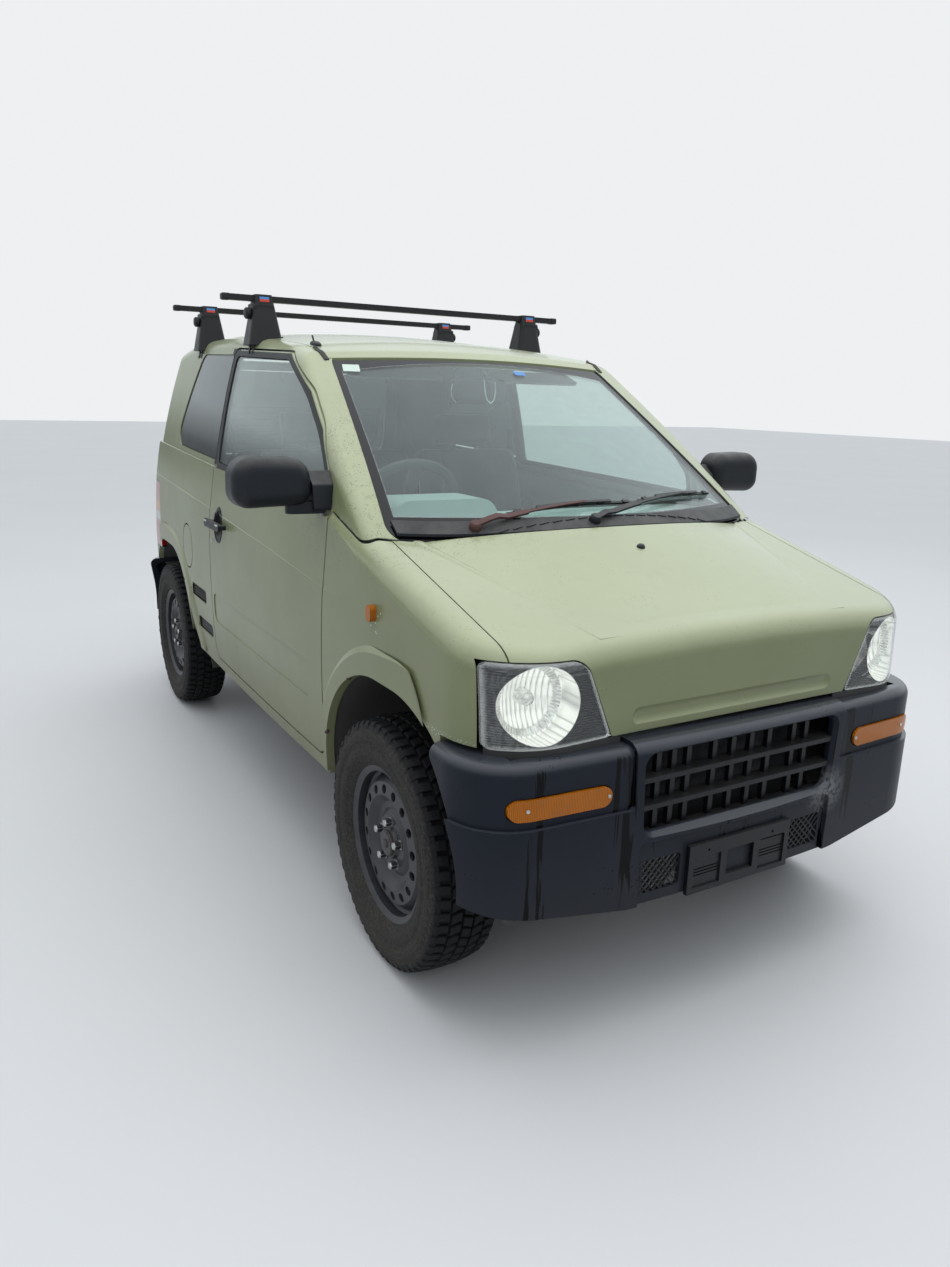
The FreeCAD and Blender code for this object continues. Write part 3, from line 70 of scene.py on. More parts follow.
# A headlamp's bowl (x, z) with its radius, ribs and flutes, and how wide its cover's haze is
BOWL = (0.548, 0.815)
BOWL_R = 0.086
LAMP_RIB_PITCH = 0.0058
FLUTE_WIDE, FLUTE_HIGH = 0.0125, 0.03
LAMP_HAZE = 0.013
HANDLE_CUP = (0.276, 0.956)
HANDLE_CUP_HALF = (0.052, 0.064)
# How wide the black frame is round the door's window, and the black pillar behind the door (y, z)
WINDOW_FRAME = 0.0225
REAR_PILLAR = [(0.33, 0.424), (1.165, 1.584)]
RIDGE_LINE = [(0.56, -1.01), (0.388, -1.56)]
RIDGE_HALF = 0.016
# Side vents: rear and front end, bottom and top, and how far out their recess reaches
SIDE_VENTS = [(0.498, 0.742, 0.606, 0.660, 0.7125), (0.430, 0.668, 0.482, 0.534, 0.7055)]
VENT_EDGE = 0.003


# Shader sums


class Value:
    """A node's output that takes part in Python sums. Each operator adds one Math node."""

    def __init__(self, tree, output):
        self.tree = tree
        self.output = output

    def math(self, operation, *others, swap=False, clamp=False):
        node = self.tree.nodes.new("ShaderNodeMath")
        node.operation = operation
        node.use_clamp = clamp
        terms = [self, *others]
        if swap:
            terms.reverse()
        for socket, term in zip(node.inputs, terms):
            if isinstance(term, Value):
                self.tree.links.new(term.output, socket)
            else:
                socket.default_value = term
        return Value(self.tree, node.outputs[0])

    def __add__(self, other):
        return self.math("ADD", other)

    def __sub__(self, other):
        return self.math("SUBTRACT", other)

    def __rsub__(self, other):
        return self.math("SUBTRACT", other, swap=True)

    def __mul__(self, other):
        return self.math("MULTIPLY", other)

    def __truediv__(self, other):
        return self.math("DIVIDE", other)

    def __pow__(self, other):
        return self.math("POWER", other)

    def __gt__(self, other):
        return self.math("GREATER_THAN", other)

    def __lt__(self, other):
        return self.math("LESS_THAN", other)

    def __abs__(self):
        return self.math("ABSOLUTE")

    __radd__ = __add__
    __rmul__ = __mul__

    def sine(self):
        return self.math("SINE")

    def either(self, other):
        return self.math("MAXIMUM", other)

    def lesser(self, other):
        return self.math("MINIMUM", other)

    def clamped(self):
        return self.math("ADD", 0.0, clamp=True)

    def between(self, low, high, blur=0.004):
        """1 where the value lies from low to high, with a soft step at both ends."""
        return self.step(low, blur) * (1 - self.step(high, blur))

    def step(self, edge, blur=0.004):
        return ((self - (edge - blur)) / (2 * blur)).clamped()


class Finish:
    """One procedural material: its tree, its shader, and one method that adds any other node."""

    def __init__(self, name, **constants):
        self.material = bpy.data.materials.new(name)
        self.material.use_nodes = True
        self.tree = self.material.node_tree
        self.shader = self.tree.nodes["Principled BSDF"]
        self.set(**constants)
        self.kept = {}

    def set(self, **constants):
        """Numbers and colours that are the same all over the surface."""
        for name, value in constants.items():
            socket = self.shader.inputs[name.replace("_", " ")]
            if hasattr(value, "__len__") and len(value) == 3:
                value = (*value, 1)
            socket.default_value = value
        return self

    def node(self, kind, settings=None, links=None, output=0):
        node = self.tree.nodes.new("ShaderNode" + kind)
        for name, value in (settings or {}).items():
            if name == "stops":
                self.stops(node.color_ramp, value)
            else:
                setattr(node, name, value)
        for name, value in (links or {}).items():
            socket = node.inputs[name]
            if isinstance(value, Value):
                self.tree.links.new(value.output, socket)
            elif socket.type == "RGBA" and len(value) == 3:
                socket.default_value = (*value, 1)
            else:
                socket.default_value = value
        return Value(self.tree, node.outputs[output])

    def stops(self, ramp, stops):
        while len(ramp.elements) < len(stops):
            ramp.elements.new(1)
        for element, (place, shade) in zip(ramp.elements, stops):
            element.position = place
            element.color = (*shade, 1) if hasattr(shade, "__len__") else (shade, shade, shade, 1)

    def feed(self, **links):
        """What varies over the surface, by the name of the shader's socket."""
        for name, value in links.items():
            self.tree.links.new(value.output, self.shader.inputs[name.replace("_", " ")])
        return self

    def place(self):
        """Where a point lies on the car, in metres."""
        if "place" not in self.kept:
            self.kept["place"] = self.node("TexCoord", output="Object")
        return self.kept["place"]

    def axis(self, name):
        if "xyz" not in self.kept:
            self.kept["xyz"] = self.node("SeparateXYZ", links={"Vector": self.place()}).output.node
        return Value(self.tree, self.kept["xyz"].outputs[name])

    def facing(self, name):
        """One axis of the surface's own direction: 1 along it, -1 against it."""
        if "facing" not in self.kept:
            normal = self.node("TexCoord", output="Normal")
            self.kept["facing"] = self.node("SeparateXYZ", links={"Vector": normal}).output.node
        return Value(self.tree, self.kept["facing"].outputs[name])

    def outside(self, across, up, outline):
        """How far a point lies outside a convex outline, in metres; less than 0 inside it."""
        middle = sum((Vector(p) for p in outline), Vector((0, 0))) / len(outline)
        worst = None
        for start, end in zip(outline, outline[1:] + outline[:1]):
            run = Vector(end) - Vector(start)
            out = Vector((run.y, -run.x)).normalized()
            if out.dot(Vector(start) - middle) < 0:
                out = -out
            gap = across * out.x + up * out.y - out.dot(Vector(start))
            worst = worst.either(gap) if worst else gap
        return worst

    def oval(self, across, up, centre, half):
        """The distance from a centre, as a share of an oval's half sizes."""
        u = (across - centre[0]) / half[0]
        v = (up - centre[1]) / half[1]
        return (u * u + v * v) ** 0.5

    def stretched(self, x=1, y=1, z=1):
        return self.node("Mapping", links={"Vector": self.place(), "Scale": (x, y, z)})

    def noise(self, scale, detail=3, roughness=0.55, distortion=0, vector=None):
        links = {"Vector": vector or self.place(), "Scale": scale, "Detail": detail}
        links.update({"Roughness": roughness, "Distortion": distortion})
        return self.node("TexNoise", links=links)

    def cells(self, scale, feature="F1"):
        return self.node("TexVoronoi", {"feature": feature}, {"Vector": self.place(), "Scale": scale})

    def blend(self, low, high, share):
        """A colour from low to high by a share from 0 to 1."""
        node = self.tree.nodes.new("ShaderNodeMix")
        node.data_type = "RGBA"
        for socket, value in ((node.inputs[6], low), (node.inputs[7], high), (node.inputs[0], share)):
            if isinstance(value, Value):
                self.tree.links.new(value.output, socket)
            elif hasattr(value, "__len__"):
                socket.default_value = (*value, 1)
            else:
                socket.default_value = value
        return Value(self.tree, node.outputs[2])

    def relief(self, height, distance, strength=1.0, soften=0.0):
        """Bumps of that height; soften rounds the solid's own edges by a radius."""
        links = {"Height": height, "Distance": distance, "Strength": strength}
        if soften:
            links["Normal"] = self.node("Bevel", {"samples": 3}, {"Radius": soften})
        return self.feed(Normal=self.node("Bump", links=links))


class Sky(Finish):
    """The world's own tree, with the same ways to add nodes."""

    def __init__(self):
        world = bpy.data.worlds.new("sky")
        bpy.context.scene.world = world
        world.use_nodes = True
        self.tree = world.node_tree
        self.kept = {}


def patchy(finish, scale):
    """A slow mottle from 0 to 1, as sun and age leave on a surface."""
    return finish.noise(scale, 4, 0.6)


def road_dust(finish, top, depth):
    """How much road dirt lies on a surface: all of it at the bottom, none above a height."""
    height = 1 - ((finish.axis("Z") - (top - depth)) / depth).clamped()
    return (height * (0.35 + 0.9 * finish.noise(7, 5, 0.65))).clamped()


# Finishes

SAGE = (0.15, 0.17, 0.08)
# Pale sage for faded patches, and for upward faces as sun fade and painted top light
SAGE_FADED_AND_TOPLIT = (0.335, 0.368, 0.222)
ROAD_DIRT = (0.15, 0.14, 0.11)
MOSS = (0.055, 0.07, 0.03)
LINING = (0.2, 0.215, 0.2)
LINING_PALE = (0.26, 0.27, 0.25)
PRIMER = (0.62, 0.63, 0.6)
BLACKOUT = (0.014, 0.014, 0.015)
# Where stones chip the hood's front edge (z), and where paint has come off round the side signal (y, z)
HOOD_LIP = (0.712, 0.727)
SIDE_SIGNAL = (-1.1, 0.917)


def make_sage_paint():
    """Satin paint with faded patches, chips and dirt, and upward faces lighter from sun fade and painted top
    light; the side that faces the cabin is lined.
    """
    f = Finish("sage_paint", Coat_Roughness=0.17, IOR=1.5, Specular_IOR_Level=0.35)
    mottle = patchy(f, 2.2)
    # Upward faces are lighter: partly sun fade, partly painted top light
    top = f.facing("Z").step(0.45, 0.4)
    colour = f.blend(SAGE, SAGE_FADED_AND_TOPLIT, (mottle * 0.45 + top * 0.8 - 0.1).clamped())
    specks = (1 - f.cells(95).step(0.2, 0.05)) * f.noise(9, 4).step(0.6, 0.05)
    pillar = f.axis("Y").between(-1.15, -0.55, 0.08) * f.axis("Z").between(1.0, 1.5, 0.05)
    moss = (1 - f.cells(210).step(0.3, 0.08)) * f.noise(26, 5, 0.7).step(0.52, 0.04) * pillar
    colour = f.blend(colour, MOSS, (moss * 0.8 + specks * 0.35).clamped())
    streaks = f.noise(1, 5, 0.6, vector=f.stretched(26, 26, 2.2)).step(0.66, 0.1) * 0.16
    colour = f.blend(colour, (0.2, 0.215, 0.13), streaks)
    dust = road_dust(f, 0.62, 0.34) * 0.75
    colour = f.blend(colour, ROAD_DIRT, dust)
    outward = f.facing("X") * f.node("Math", {"operation": "SIGN"}, {0: f.axis("X")})
    cabin = f.axis("Y").between(-0.86, 1.44, 0.01) * (0 - outward).step(0.3, 0.05)
    under = (0 - f.facing("Z")).step(0.6, 0.1) * f.axis("Z").step(1.3, 0.02)
    inside = (cabin + under).clamped()
    weave = f.noise(900, 2) * 0.3
    colour = f.blend(colour, f.blend(LINING, LINING_PALE, weave), inside)
    lip = f.axis("Z").between(*HOOD_LIP, 0.004) * (f.axis("Y") < -1.36)
    chips = f.noise(210, 4, 0.7).step(0.6, 0.03) * lip
    rubbed = f.cells(60).step(0.14, 0.02)
    near_marker = f.oval(f.axis("Y"), f.axis("Z"), SIDE_SIGNAL, (0.05, 0.05)).step(1, 0.2)
    chips = chips.either((1 - rubbed) * (1 - near_marker) * (f.axis("Y") < 0))
    colour = f.blend(colour, PRIMER, chips * (1 - inside))
    black = black_trim_areas(f)
    colour = f.blend(colour, BLACKOUT, black)
    gloss = 0.33 + 0.13 * f.noise(5, 4) + 0.3 * dust + 0.3 * inside + 0.1 * black
    coat = (0.35 + 0.6 * top - 0.5 * dust - inside - black).clamped()
    f.feed(Base_Color=colour, Roughness=gloss, Coat_Weight=coat)
    ripple = f.noise(3.0, 2) * 0.25 + f.noise(420, 2) * 0.012 + hood_ridges(f) * 0.9
    return f.relief(ripple, 0.004, 0.35, soften=0.0022)


def hood_ridges(f):
    """A height from 0 to 1 along the hood's two pressed ridges, which sharpens their crests."""
    start, end = Vector(RIDGE_LINE[0]), Vector(RIDGE_LINE[1])
    run = (end - start).normalized()
    across, y = abs(f.axis("X")), f.axis("Y")
    away = abs((across - start.x) * run.y + (y - start.y) * (0 - run.x))
    crest = (1 - away / RIDGE_HALF).clamped() * y.between(end.y, start.y, 0.03)
    return crest * f.axis("Z").step(0.9, 0.02) * f.facing("Z").step(0.6, 0.1)


def black_trim_areas(f):
    """Where the sides are black: window frames, the pillar behind the door, vent recesses and handle cups."""
    across, y, z = abs(f.axis("X")), f.axis("Y"), f.axis("Z")
    areas = 1 - f.outside(y, z, DOOR_WINDOW).step(WINDOW_FRAME, 0.0012)
    areas = areas.either(y.between(*REAR_PILLAR[0], 0.001) * z.between(*REAR_PILLAR[1], 0.002))
    areas = areas.either(1 - f.oval(y, z, HANDLE_CUP, HANDLE_CUP_HALF).step(1, 0.02))
    for rear, front, low, high, out in SIDE_VENTS:
        lengthwise = y.between(rear - VENT_EDGE, front + VENT_EDGE, 0.001)
        upright = z.between(low - VENT_EDGE, high + VENT_EDGE, 0.001)
        areas = areas.either(lengthwise * upright * (across < out))
    return areas * (across > 0.5)


# The corner beside the grille where the bumper has been scraped
SCUFFED_CORNER = (0.3, -1.692, 0.486)


def make_black_plastic():
    """Satin blue-black bumper plastic: wet streaks that shine, pale scuffs and dust, and dry upward faces
    painted lighter as a sky highlight.
    """
    f = Finish("bumper_plastic", Specular_IOR_Level=0.12, Coat_Roughness=0.22)
    streaks = f.noise(1, 4, 0.65, 0.5, vector=f.stretched(17, 8, 1.1))
    across, z = abs(f.axis("X")), f.axis("Z")
    inner = f.oval(across, z, (0.372, 0.5), (0.035, 0.22)).step(1, 0.6) * 0.11 - 0.11
    soaked = inner - f.oval(across, z, (0.56, 0.44), (0.07, 0.15)).step(1, 0.5) * 0.04 + 0.04
    wet = (streaks - soaked).step(0.6, 0.012) * f.facing("Z").between(-0.4, 0.45, 0.1) * (z < 0.7)
    drops = (1 - f.cells(75).step(0.16, 0.03)) * f.noise(6).step(0.6, 0.04)
    wet = (wet + drops * f.facing("Z").step(-0.5, 0.2)).clamped()
    scuffs = f.noise(1, 6, 0.75, vector=f.stretched(55, 55, 230)).step(0.715, 0.03)
    worn = scuffs * (f.axis("Y") < -1.5) * 0.6
    corner = f.node("VectorMath", {"operation": "DISTANCE"}, {0: f.place(), 1: SCUFFED_CORNER}, "Value")
    chalk = (1 - (corner / 0.075).clamped()) * f.noise(70, 5, 0.75).step(0.47, 0.07)
    colour = f.blend((0.0085, 0.011, 0.017), (0.014, 0.0175, 0.027), patchy(f, 3))
    colour = f.blend(colour, (0.0012, 0.0013, 0.0017), wet)
    colour = f.blend(colour, (0.2, 0.205, 0.21), (worn * 0.5 + chalk * 0.9).clamped())
    dust = road_dust(f, 0.56, 0.3) * 0.16
    colour = f.blend(colour, (0.1, 0.095, 0.085), dust * (1 - wet))
    # Painted highlight: dry upward faces are lighter, standing in for the sky's reflection
    colour = f.blend(colour, (0.045, 0.05, 0.062), f.facing("Z").step(0.45, 0.3) * (1 - wet) * 0.75)
    gloss = 0.3 + 0.12 * f.noise(8, 4) + 0.2 * dust + 0.15 * chalk
    shine = f.facing("Z").step(0.4, 0.35) * 0.9
    f.feed(Base_Color=colour, Roughness=gloss * (1 - wet * 0.8), Coat_Weight=shine)
    return f.relief(f.noise(900, 2) * (1 - wet) * 0.5, 0.0004, 0.5, soften=0.003)


def make_grained_plastic(name, colour, pale, roughness=0.55, grain=1300, dusty=0.25):
    """Moulded plastic with a fine leather grain and a little dust on what faces up."""
    f = Finish(name, Specular_IOR_Level=0.3)
    dust = f.facing("Z").step(0.55, 0.3) * f.noise(14, 5, 0.7).step(0.4, 0.25) * dusty
    shade = f.blend(colour, pale, patchy(f, 6) * 0.6)
    shade = f.blend(shade, (0.24, 0.235, 0.21), dust)
    f.feed(Base_Color=shade, Roughness=roughness + 0.15 * f.noise(25, 3) - 0.05)
    return f.relief(f.cells(grain, feature="SMOOTH_F1"), 0.0004, 0.5, soften=0.0015)


def make_rubber():
    """Window and gap rubber, greyed in patches."""
    f = Finish("window_rubber")
    aged = patchy(f, 11)
    colour = f.blend((0.018, 0.018, 0.019), (0.05, 0.05, 0.048), aged.step(0.5, 0.25) * 0.8)
    f.feed(Base_Color=colour, Roughness=0.5 + 0.25 * aged)
    return f.relief(f.noise(700, 3), 0.0003, 0.4)


def from_axle(f):
    """How far a point lies from its wheel's axle, as seen from the side, in tyre radii."""
    along = abs(f.axis("Y") - FRONT_AXLE_Y).lesser(abs(f.axis("Y") - REAR_AXLE_Y))
    return f.oval(along, f.axis("Z"), (0, TYRE_R), (TYRE_R, TYRE_R))


def make_tyre_rubber():
    """Tyre rubber greyed by road dust, most on the tread and the lower wall."""
    f = Finish("tyre_rubber", Specular_IOR_Level=0.12)
    worn = f.noise(9, 5, 0.65)
    tread = from_axle(f).step(0.93, 0.02)
    colour = f.blend((0.011, 0.011, 0.012), (0.04, 0.039, 0.037), worn)
    grit = f.noise(160, 4, 0.7).step(0.55, 0.1)
    low = 1 - (f.axis("Z") / 0.2).clamped()
    colour = f.blend(colour, (0.13, 0.118, 0.098), (grit * 0.3 + low * worn * 0.3).clamped())
    colour = f.blend(colour, (0.006, 0.0065, 0.008), tread * 0.85)
    f.feed(Base_Color=colour, Roughness=0.62 + 0.25 * worn - 0.2 * tread)
    return f.relief(f.noise(420, 4, 0.7), 0.0006, 0.6)


def make_wheel_steel():
    """Black enamel on pressed steel, with rust at the hub and brake dust on ledges."""
    f = Finish("wheel_enamel")
    rust = f.noise(60, 6, 0.72).step(0.66, 0.04)
    dust = f.noise(22, 5, 0.6).step(0.42, 0.25) * 0.4
    colour = f.blend((0.013, 0.015, 0.022), (0.07, 0.068, 0.066), dust)
    colour = f.blend(colour, (0.1, 0.035, 0.014), rust * 0.75)
    lip = (from_axle(f) * (TYRE_R / RIM_LIP_R)).between(0.985, 1.02, 0.004)
    worn = lip * f.noise(35, 4).step(0.47, 0.06)
    colour = f.blend(colour, (0.3, 0.3, 0.29), worn * 0.8)
    f.feed(Base_Color=colour, Roughness=0.34 + 0.3 * dust + 0.35 * rust)
    return f.relief(rust + 0.3 * f.noise(300, 3), 0.0006, 0.5, soften=0.0015)


def make_rusty(name, steel, rust_share, roughness=0.55, metallic=0.0):
    """Bare or coated metal that has begun to rust."""
    f = Finish(name, Metallic=metallic)
    rust = f.noise(38, 7, 0.75).step(1 - rust_share, 0.12)
    deep = f.noise(120, 5, 0.7)
    brown = f.blend((0.13, 0.055, 0.028), (0.055, 0.026, 0.017), deep)
    f.feed(Base_Color=f.blend(steel, brown, rust), Roughness=roughness + 0.3 * rust)
    return f.relief(rust * 0.6 + deep * 0.4, 0.0008, 0.7, soften=0.0015)


def make_bright_metal(name, colour=(0.62, 0.62, 0.6), roughness=0.25):
    f = Finish(name, Metallic=1.0)
    haze = f.noise(45, 5, 0.65)
    f.feed(Base_Color=f.blend(colour, [c * 0.55 for c in colour], haze.step(0.55, 0.2)))
    f.feed(Roughness=roughness + 0.25 * haze)
    return f.relief(f.noise(260, 3), 0.0003, 0.4)


def make_glass(name, tint, haze=0.02, frit=None, fill=(0.005, 0.005, 0.006)):
    """Thin sheet glass: what is behind shows through, more is mirrored at a flat angle, and dust dulls it.

    frit is a mask, made by a function of the finish, where the sheet is printed black.
    """
    f = Finish(name, Base_Color=(1, 1, 1), Metallic=1.0, Roughness=0.02)
    facing = f.node("LayerWeight", links={"Blend": 0.5}, output="Facing")
    mirrored = 0.055 + 0.94 * facing**4.5
    dust = f.noise(11, 6, 0.7).step(0.45, 0.3) * haze * 2
    share = (mirrored + dust).clamped()
    colour = f.blend((0.95, 0.98, 1.0), (0.5, 0.5, 0.46), (dust * 8).clamped())
    metal = 1 - (dust * 6).clamped()
    if frit:
        band = frit(f)
        share = share.either(band)
        colour = f.blend(colour, fill, band)
        metal = metal * (1 - band)
    clear = f.node("BsdfTransparent", links={"Color": tint})
    f.feed(Base_Color=colour, Metallic=metal, Roughness=0.02 + 0.25 * dust)
    body = Value(f.tree, f.shader.outputs[0])
    mixed = f.node("MixShader", links={0: share, 1: clear, 2: body})
    f.tree.links.new(mixed.output, f.tree.nodes["Material Output"].inputs["Surface"])
    return f


# The windscreen seen from the front: half its width at the foot, the foot's height, and its taper
SCREEN_HALF, SCREEN_FOOT, SCREEN_TAPER = 0.611, 1.089, 0.2295
# The height of its top edge at the middle, and how fast that falls to the sides
SCREEN_TOP, SCREEN_TOP_FALL = 1.524, 0.16
FRIT_SIDE, FRIT_TOP = 0.045, 0.03


def windscreen_frit(f):
    """The black printed border of the windscreen: wide at the foot, narrow at the sides and top."""
    x, height = f.axis("X"), f.axis("Z")
    half = SCREEN_HALF - (height - SCREEN_FOOT) * SCREEN_TAPER
    side = (abs(x) - (half - FRIT_SIDE)) / FRIT_SIDE
    foot = (SCREEN_FOOT + 0.063 - height) / FRIT_SIDE
    top = (height - (SCREEN_TOP - SCREEN_TOP_FALL * x * x)) / FRIT_TOP
    return side.either(foot).either(top).step(0.5, 0.03)


# Heater lines in the tailgate's glass: lowest and highest, their pitch, and the bars at both sides
HEATER_Z = (1.17, 1.49)
HEATER_PITCH = 0.03
HEATER_BAR_X = 0.458
TAILGATE_Y = 1.45


def heater_lines(f):
    """Fine printed heater lines across the tailgate's glass, between two bars."""
    across, height = abs(f.axis("X")), f.axis("Z")
    field = height.between(*HEATER_Z, 0.001)
    comb = (height * (math.tau / HEATER_PITCH)).sine().step(0.985, 0.006) * field
    bars = across.between(HEATER_BAR_X - 0.003, HEATER_BAR_X + 0.003, 0.0005) * field
    return (comb * (across < HEATER_BAR_X)).either(bars) * f.axis("Y").step(TAILGATE_Y, 0.01) * 0.7


def make_lens(name, colour, pitch=0.004):
    """Coloured lamp plastic with upright ribs moulded on its inside."""
    f = Finish(name, Specular_IOR_Level=0.25)
    ribs = (f.axis("X") * (math.tau / pitch)).sine()
    share = (ribs * 0.35 + 0.4 + 0.3 * f.noise(20, 3)).clamped()
    depth = f.blend(colour, [c * 0.45 for c in colour], share)
    f.feed(**grimed(f, depth, 0.1))
    return f.relief(ribs, 0.0007, 0.35)


def grimed(f, colour, gloss):
    """A lamp cover's colour and roughness with a little grime on them."""
    grime = f.noise(26, 5, 0.7).step(0.62, 0.1) * 0.25
    return {"Base_Color": f.blend(colour, (0.1, 0.08, 0.06), grime), "Roughness": gloss + 0.3 * grime}


# The tail lamp's fields: the clear one's foot, where it meets the amber one, and that one's top
TAIL_FIELDS = (0.826, 0.872, 0.922)
# Its dark border: below, above and inside of these
TAIL_FOOT, TAIL_TOP, TAIL_INNER = 0.7075, 1.0015, 0.6


def make_tail_lens():
    """The tail lamp's cover: red above and below an amber and a clear field, with dark lines between."""
    f = Finish("tail_lens", Specular_IOR_Level=0.3, Coat_Weight=0.5)
    height = f.axis("Z")
    wave = math.tau / 0.006
    fine = (f.axis("X") * wave).sine() * 0.25 + (height * wave).sine() * 0.25 + 0.5
    red = f.blend((0.42, 0.008, 0.008), (0.2, 0.004, 0.005), fine)
    amber = f.blend((0.6, 0.19, 0.004), (0.36, 0.1, 0.003), fine)
    clear = f.blend((0.5, 0.5, 0.48), (0.28, 0.285, 0.28), fine)
    foot, middle, top = TAIL_FIELDS
    colour = f.blend(red, amber, height.between(middle, top, 0.0005))
    colour = f.blend(colour, clear, height.between(foot, middle, 0.0005))
    dark = (height > TAIL_TOP).either(height < TAIL_FOOT).either(abs(f.axis("X")) < TAIL_INNER)
    for edge in TAIL_FIELDS:
        dark = dark.either(height.between(edge - 0.0015, edge + 0.0015, 0.0004))
    f.feed(**grimed(f, f.blend(colour, (0.012, 0.012, 0.013), dark), 0.12))
    return f.relief(fine, 0.0006, 0.35)


def make_cloth(name, colour, thread, scale=520):
    """Woven seat cloth: two sets of threads, pills and a slow fade."""
    f = Finish(name, Roughness=0.9, Sheen_Weight=0.3, Sheen_Roughness=0.4)
    warp = (f.axis("X") * scale * 2).sine()
    weft = ((f.axis("Y") + f.axis("Z")) * scale * 2).sine()
    weave = (warp * weft * 0.5 + 0.5).clamped()
    shade = f.blend(colour, thread, weave * 0.5 + 0.3 * f.noise(60, 4))
    f.feed(Base_Color=f.blend(shade, [c * 1.5 for c in thread], f.noise(5, 3).step(0.6, 0.2) * 0.3))
    return f.relief(weave + f.noise(700, 2), 0.0006, 0.6)


def make_headlamp_housing():
    """The lamp's inside: a fluted mirror bowl, and black ribbed plastic round it; the bowl's glow and the
    light and dark stripes along its flutes are painted reflection.
    """
    f = Finish("lamp_housing", IOR=1.5, Emission_Strength=0.36)
    across, z = abs(f.axis("X")), f.axis("Z")
    bowl = 1 - f.oval(across, z, BOWL, (BOWL_R + 0.001, BOWL_R + 0.001)).step(1, 0.01)
    ribs = (z * (math.tau / LAMP_RIB_PITCH)).sine()
    upright = abs((across * (math.pi / FLUTE_WIDE)).sine()) ** 0.6
    flutes = upright + 0.25 * abs((z * (math.pi / FLUTE_HIGH)).sine())
    # Painted reflection: the bowl glows, brightest along its flutes
    lit = bowl * (0.35 + 0.65 * flutes.clamped()) * (0.75 + 0.5 * f.noise(35, 3))
    # Painted reflection: the mirror's colour runs light and dark with the flutes
    mirror = f.blend((0.42, 0.44, 0.44), (0.95, 0.96, 0.94), flutes.clamped())
    f.feed(Base_Color=f.blend((0.005, 0.0055, 0.007), mirror, bowl), Metallic=bowl * 0.6)
    f.feed(Roughness=0.3 - 0.16 * bowl, Emission_Color=f.blend((0, 0, 0), (0.9, 0.92, 0.88), lit))
    return f.relief(f.blend(ribs, flutes * 3, bowl), 0.0011, 0.9)


def lens_edge(f):
    """Yellowed haze round the rim of a headlamp's cover."""
    edge = (0 - f.outside(abs(f.axis("X")), f.axis("Z"), LAMP_FACE)) / LAMP_HAZE
    return (1 - edge).clamped() ** 1.5 * 0.6


PAINT = make_sage_paint()
BUMPER = make_black_plastic()
BLACK_TRIM = make_grained_plastic("black_trim", (0.006, 0.0075, 0.011), (0.014, 0.0165, 0.0225), 0.4)
GRILLE = make_grained_plastic("grille_black", (0.004, 0.0045, 0.0065), (0.008, 0.0085, 0.011), 0.33, 900, 0.12)
GREY_TRIM = make_grained_plastic("grey_trim", (0.2, 0.225, 0.21), (0.27, 0.29, 0.27), 0.6)
DARK_TRIM = make_grained_plastic("dark_trim", (0.05, 0.053, 0.053), (0.08, 0.082, 0.08), 0.6)
RUBBER = make_rubber()
TYRE = make_tyre_rubber()
WHEEL = make_wheel_steel()
CHASSIS = make_rusty("chassis_black", (0.03, 0.03, 0.031), 0.4)
CAST = make_rusty("cast_iron", (0.1, 0.095, 0.09), 0.5, 0.6)
EXHAUST = make_rusty("exhaust_steel", (0.24, 0.22, 0.2), 0.55, 0.45, 0.6)
RUSTY_ARM = make_rusty("rusty_wiper_arm", (0.075, 0.03, 0.027), 0.34, 0.45)
BRIGHT = make_bright_metal("bright_steel")
CHROME = make_bright_metal("mirror_chrome", (0.9, 0.9, 0.88), 0.04)
MIRROR_BOWL = make_bright_metal("lamp_mirror", (0.95, 0.95, 0.93), 0.12)
ALLOY = make_bright_metal("dull_alloy", (0.045, 0.046, 0.048), 0.5)
CLEAR = make_glass("clear_glass", (0.86, 0.92, 0.89), 0.02)
SCREEN = make_glass("windscreen_glass", (0.84, 0.91, 0.89), 0.02, windscreen_frit)
PRIVACY = make_glass("privacy_glass", (0.16, 0.185, 0.18), 0.015, heater_lines, (0.05, 0.03, 0.02))
LENS = make_glass("lamp_lens", (0.97, 0.975, 0.96), 0.008, lens_edge, (0.3, 0.3, 0.25))
RACK = make_grained_plastic("rack_black", (0.012, 0.012, 0.013), (0.024, 0.024, 0.026), 0.38, 700)
DASH = make_grained_plastic("dash_plastic", (0.48, 0.56, 0.54), (0.56, 0.64, 0.62), 0.6)
STICKER = make_grained_plastic("pale_sticker", (0.55, 0.68, 0.62), (0.62, 0.74, 0.68), 0.4)
BLUE = make_grained_plastic("blue_sticker", (0.06, 0.22, 0.55), (0.1, 0.3, 0.6), 0.4)
REDDISH = make_grained_plastic("red_patch", (0.5, 0.05, 0.035), (0.55, 0.1, 0.06), 0.4)
AMBER = make_lens("amber_lens", (0.5, 0.145, 0.001))
RED = make_lens("red_lens", (0.42, 0.008, 0.008), 0.006)
TAIL_LENS = make_tail_lens()
CLOTH = make_cloth("seat_cloth", (0.03, 0.032, 0.035), (0.07, 0.072, 0.076))
BELT = make_cloth("belt_webbing", (0.03, 0.03, 0.032), (0.05, 0.05, 0.053), 900)
HOUSING = make_headlamp_housing()
UNDERCOAT = make_rusty("underbody_coat", (0.055, 0.056, 0.05), 0.22, 0.75)
RIM_RUST = make_rusty("hub_rust", (0.05, 0.045, 0.042), 0.42, 0.6)

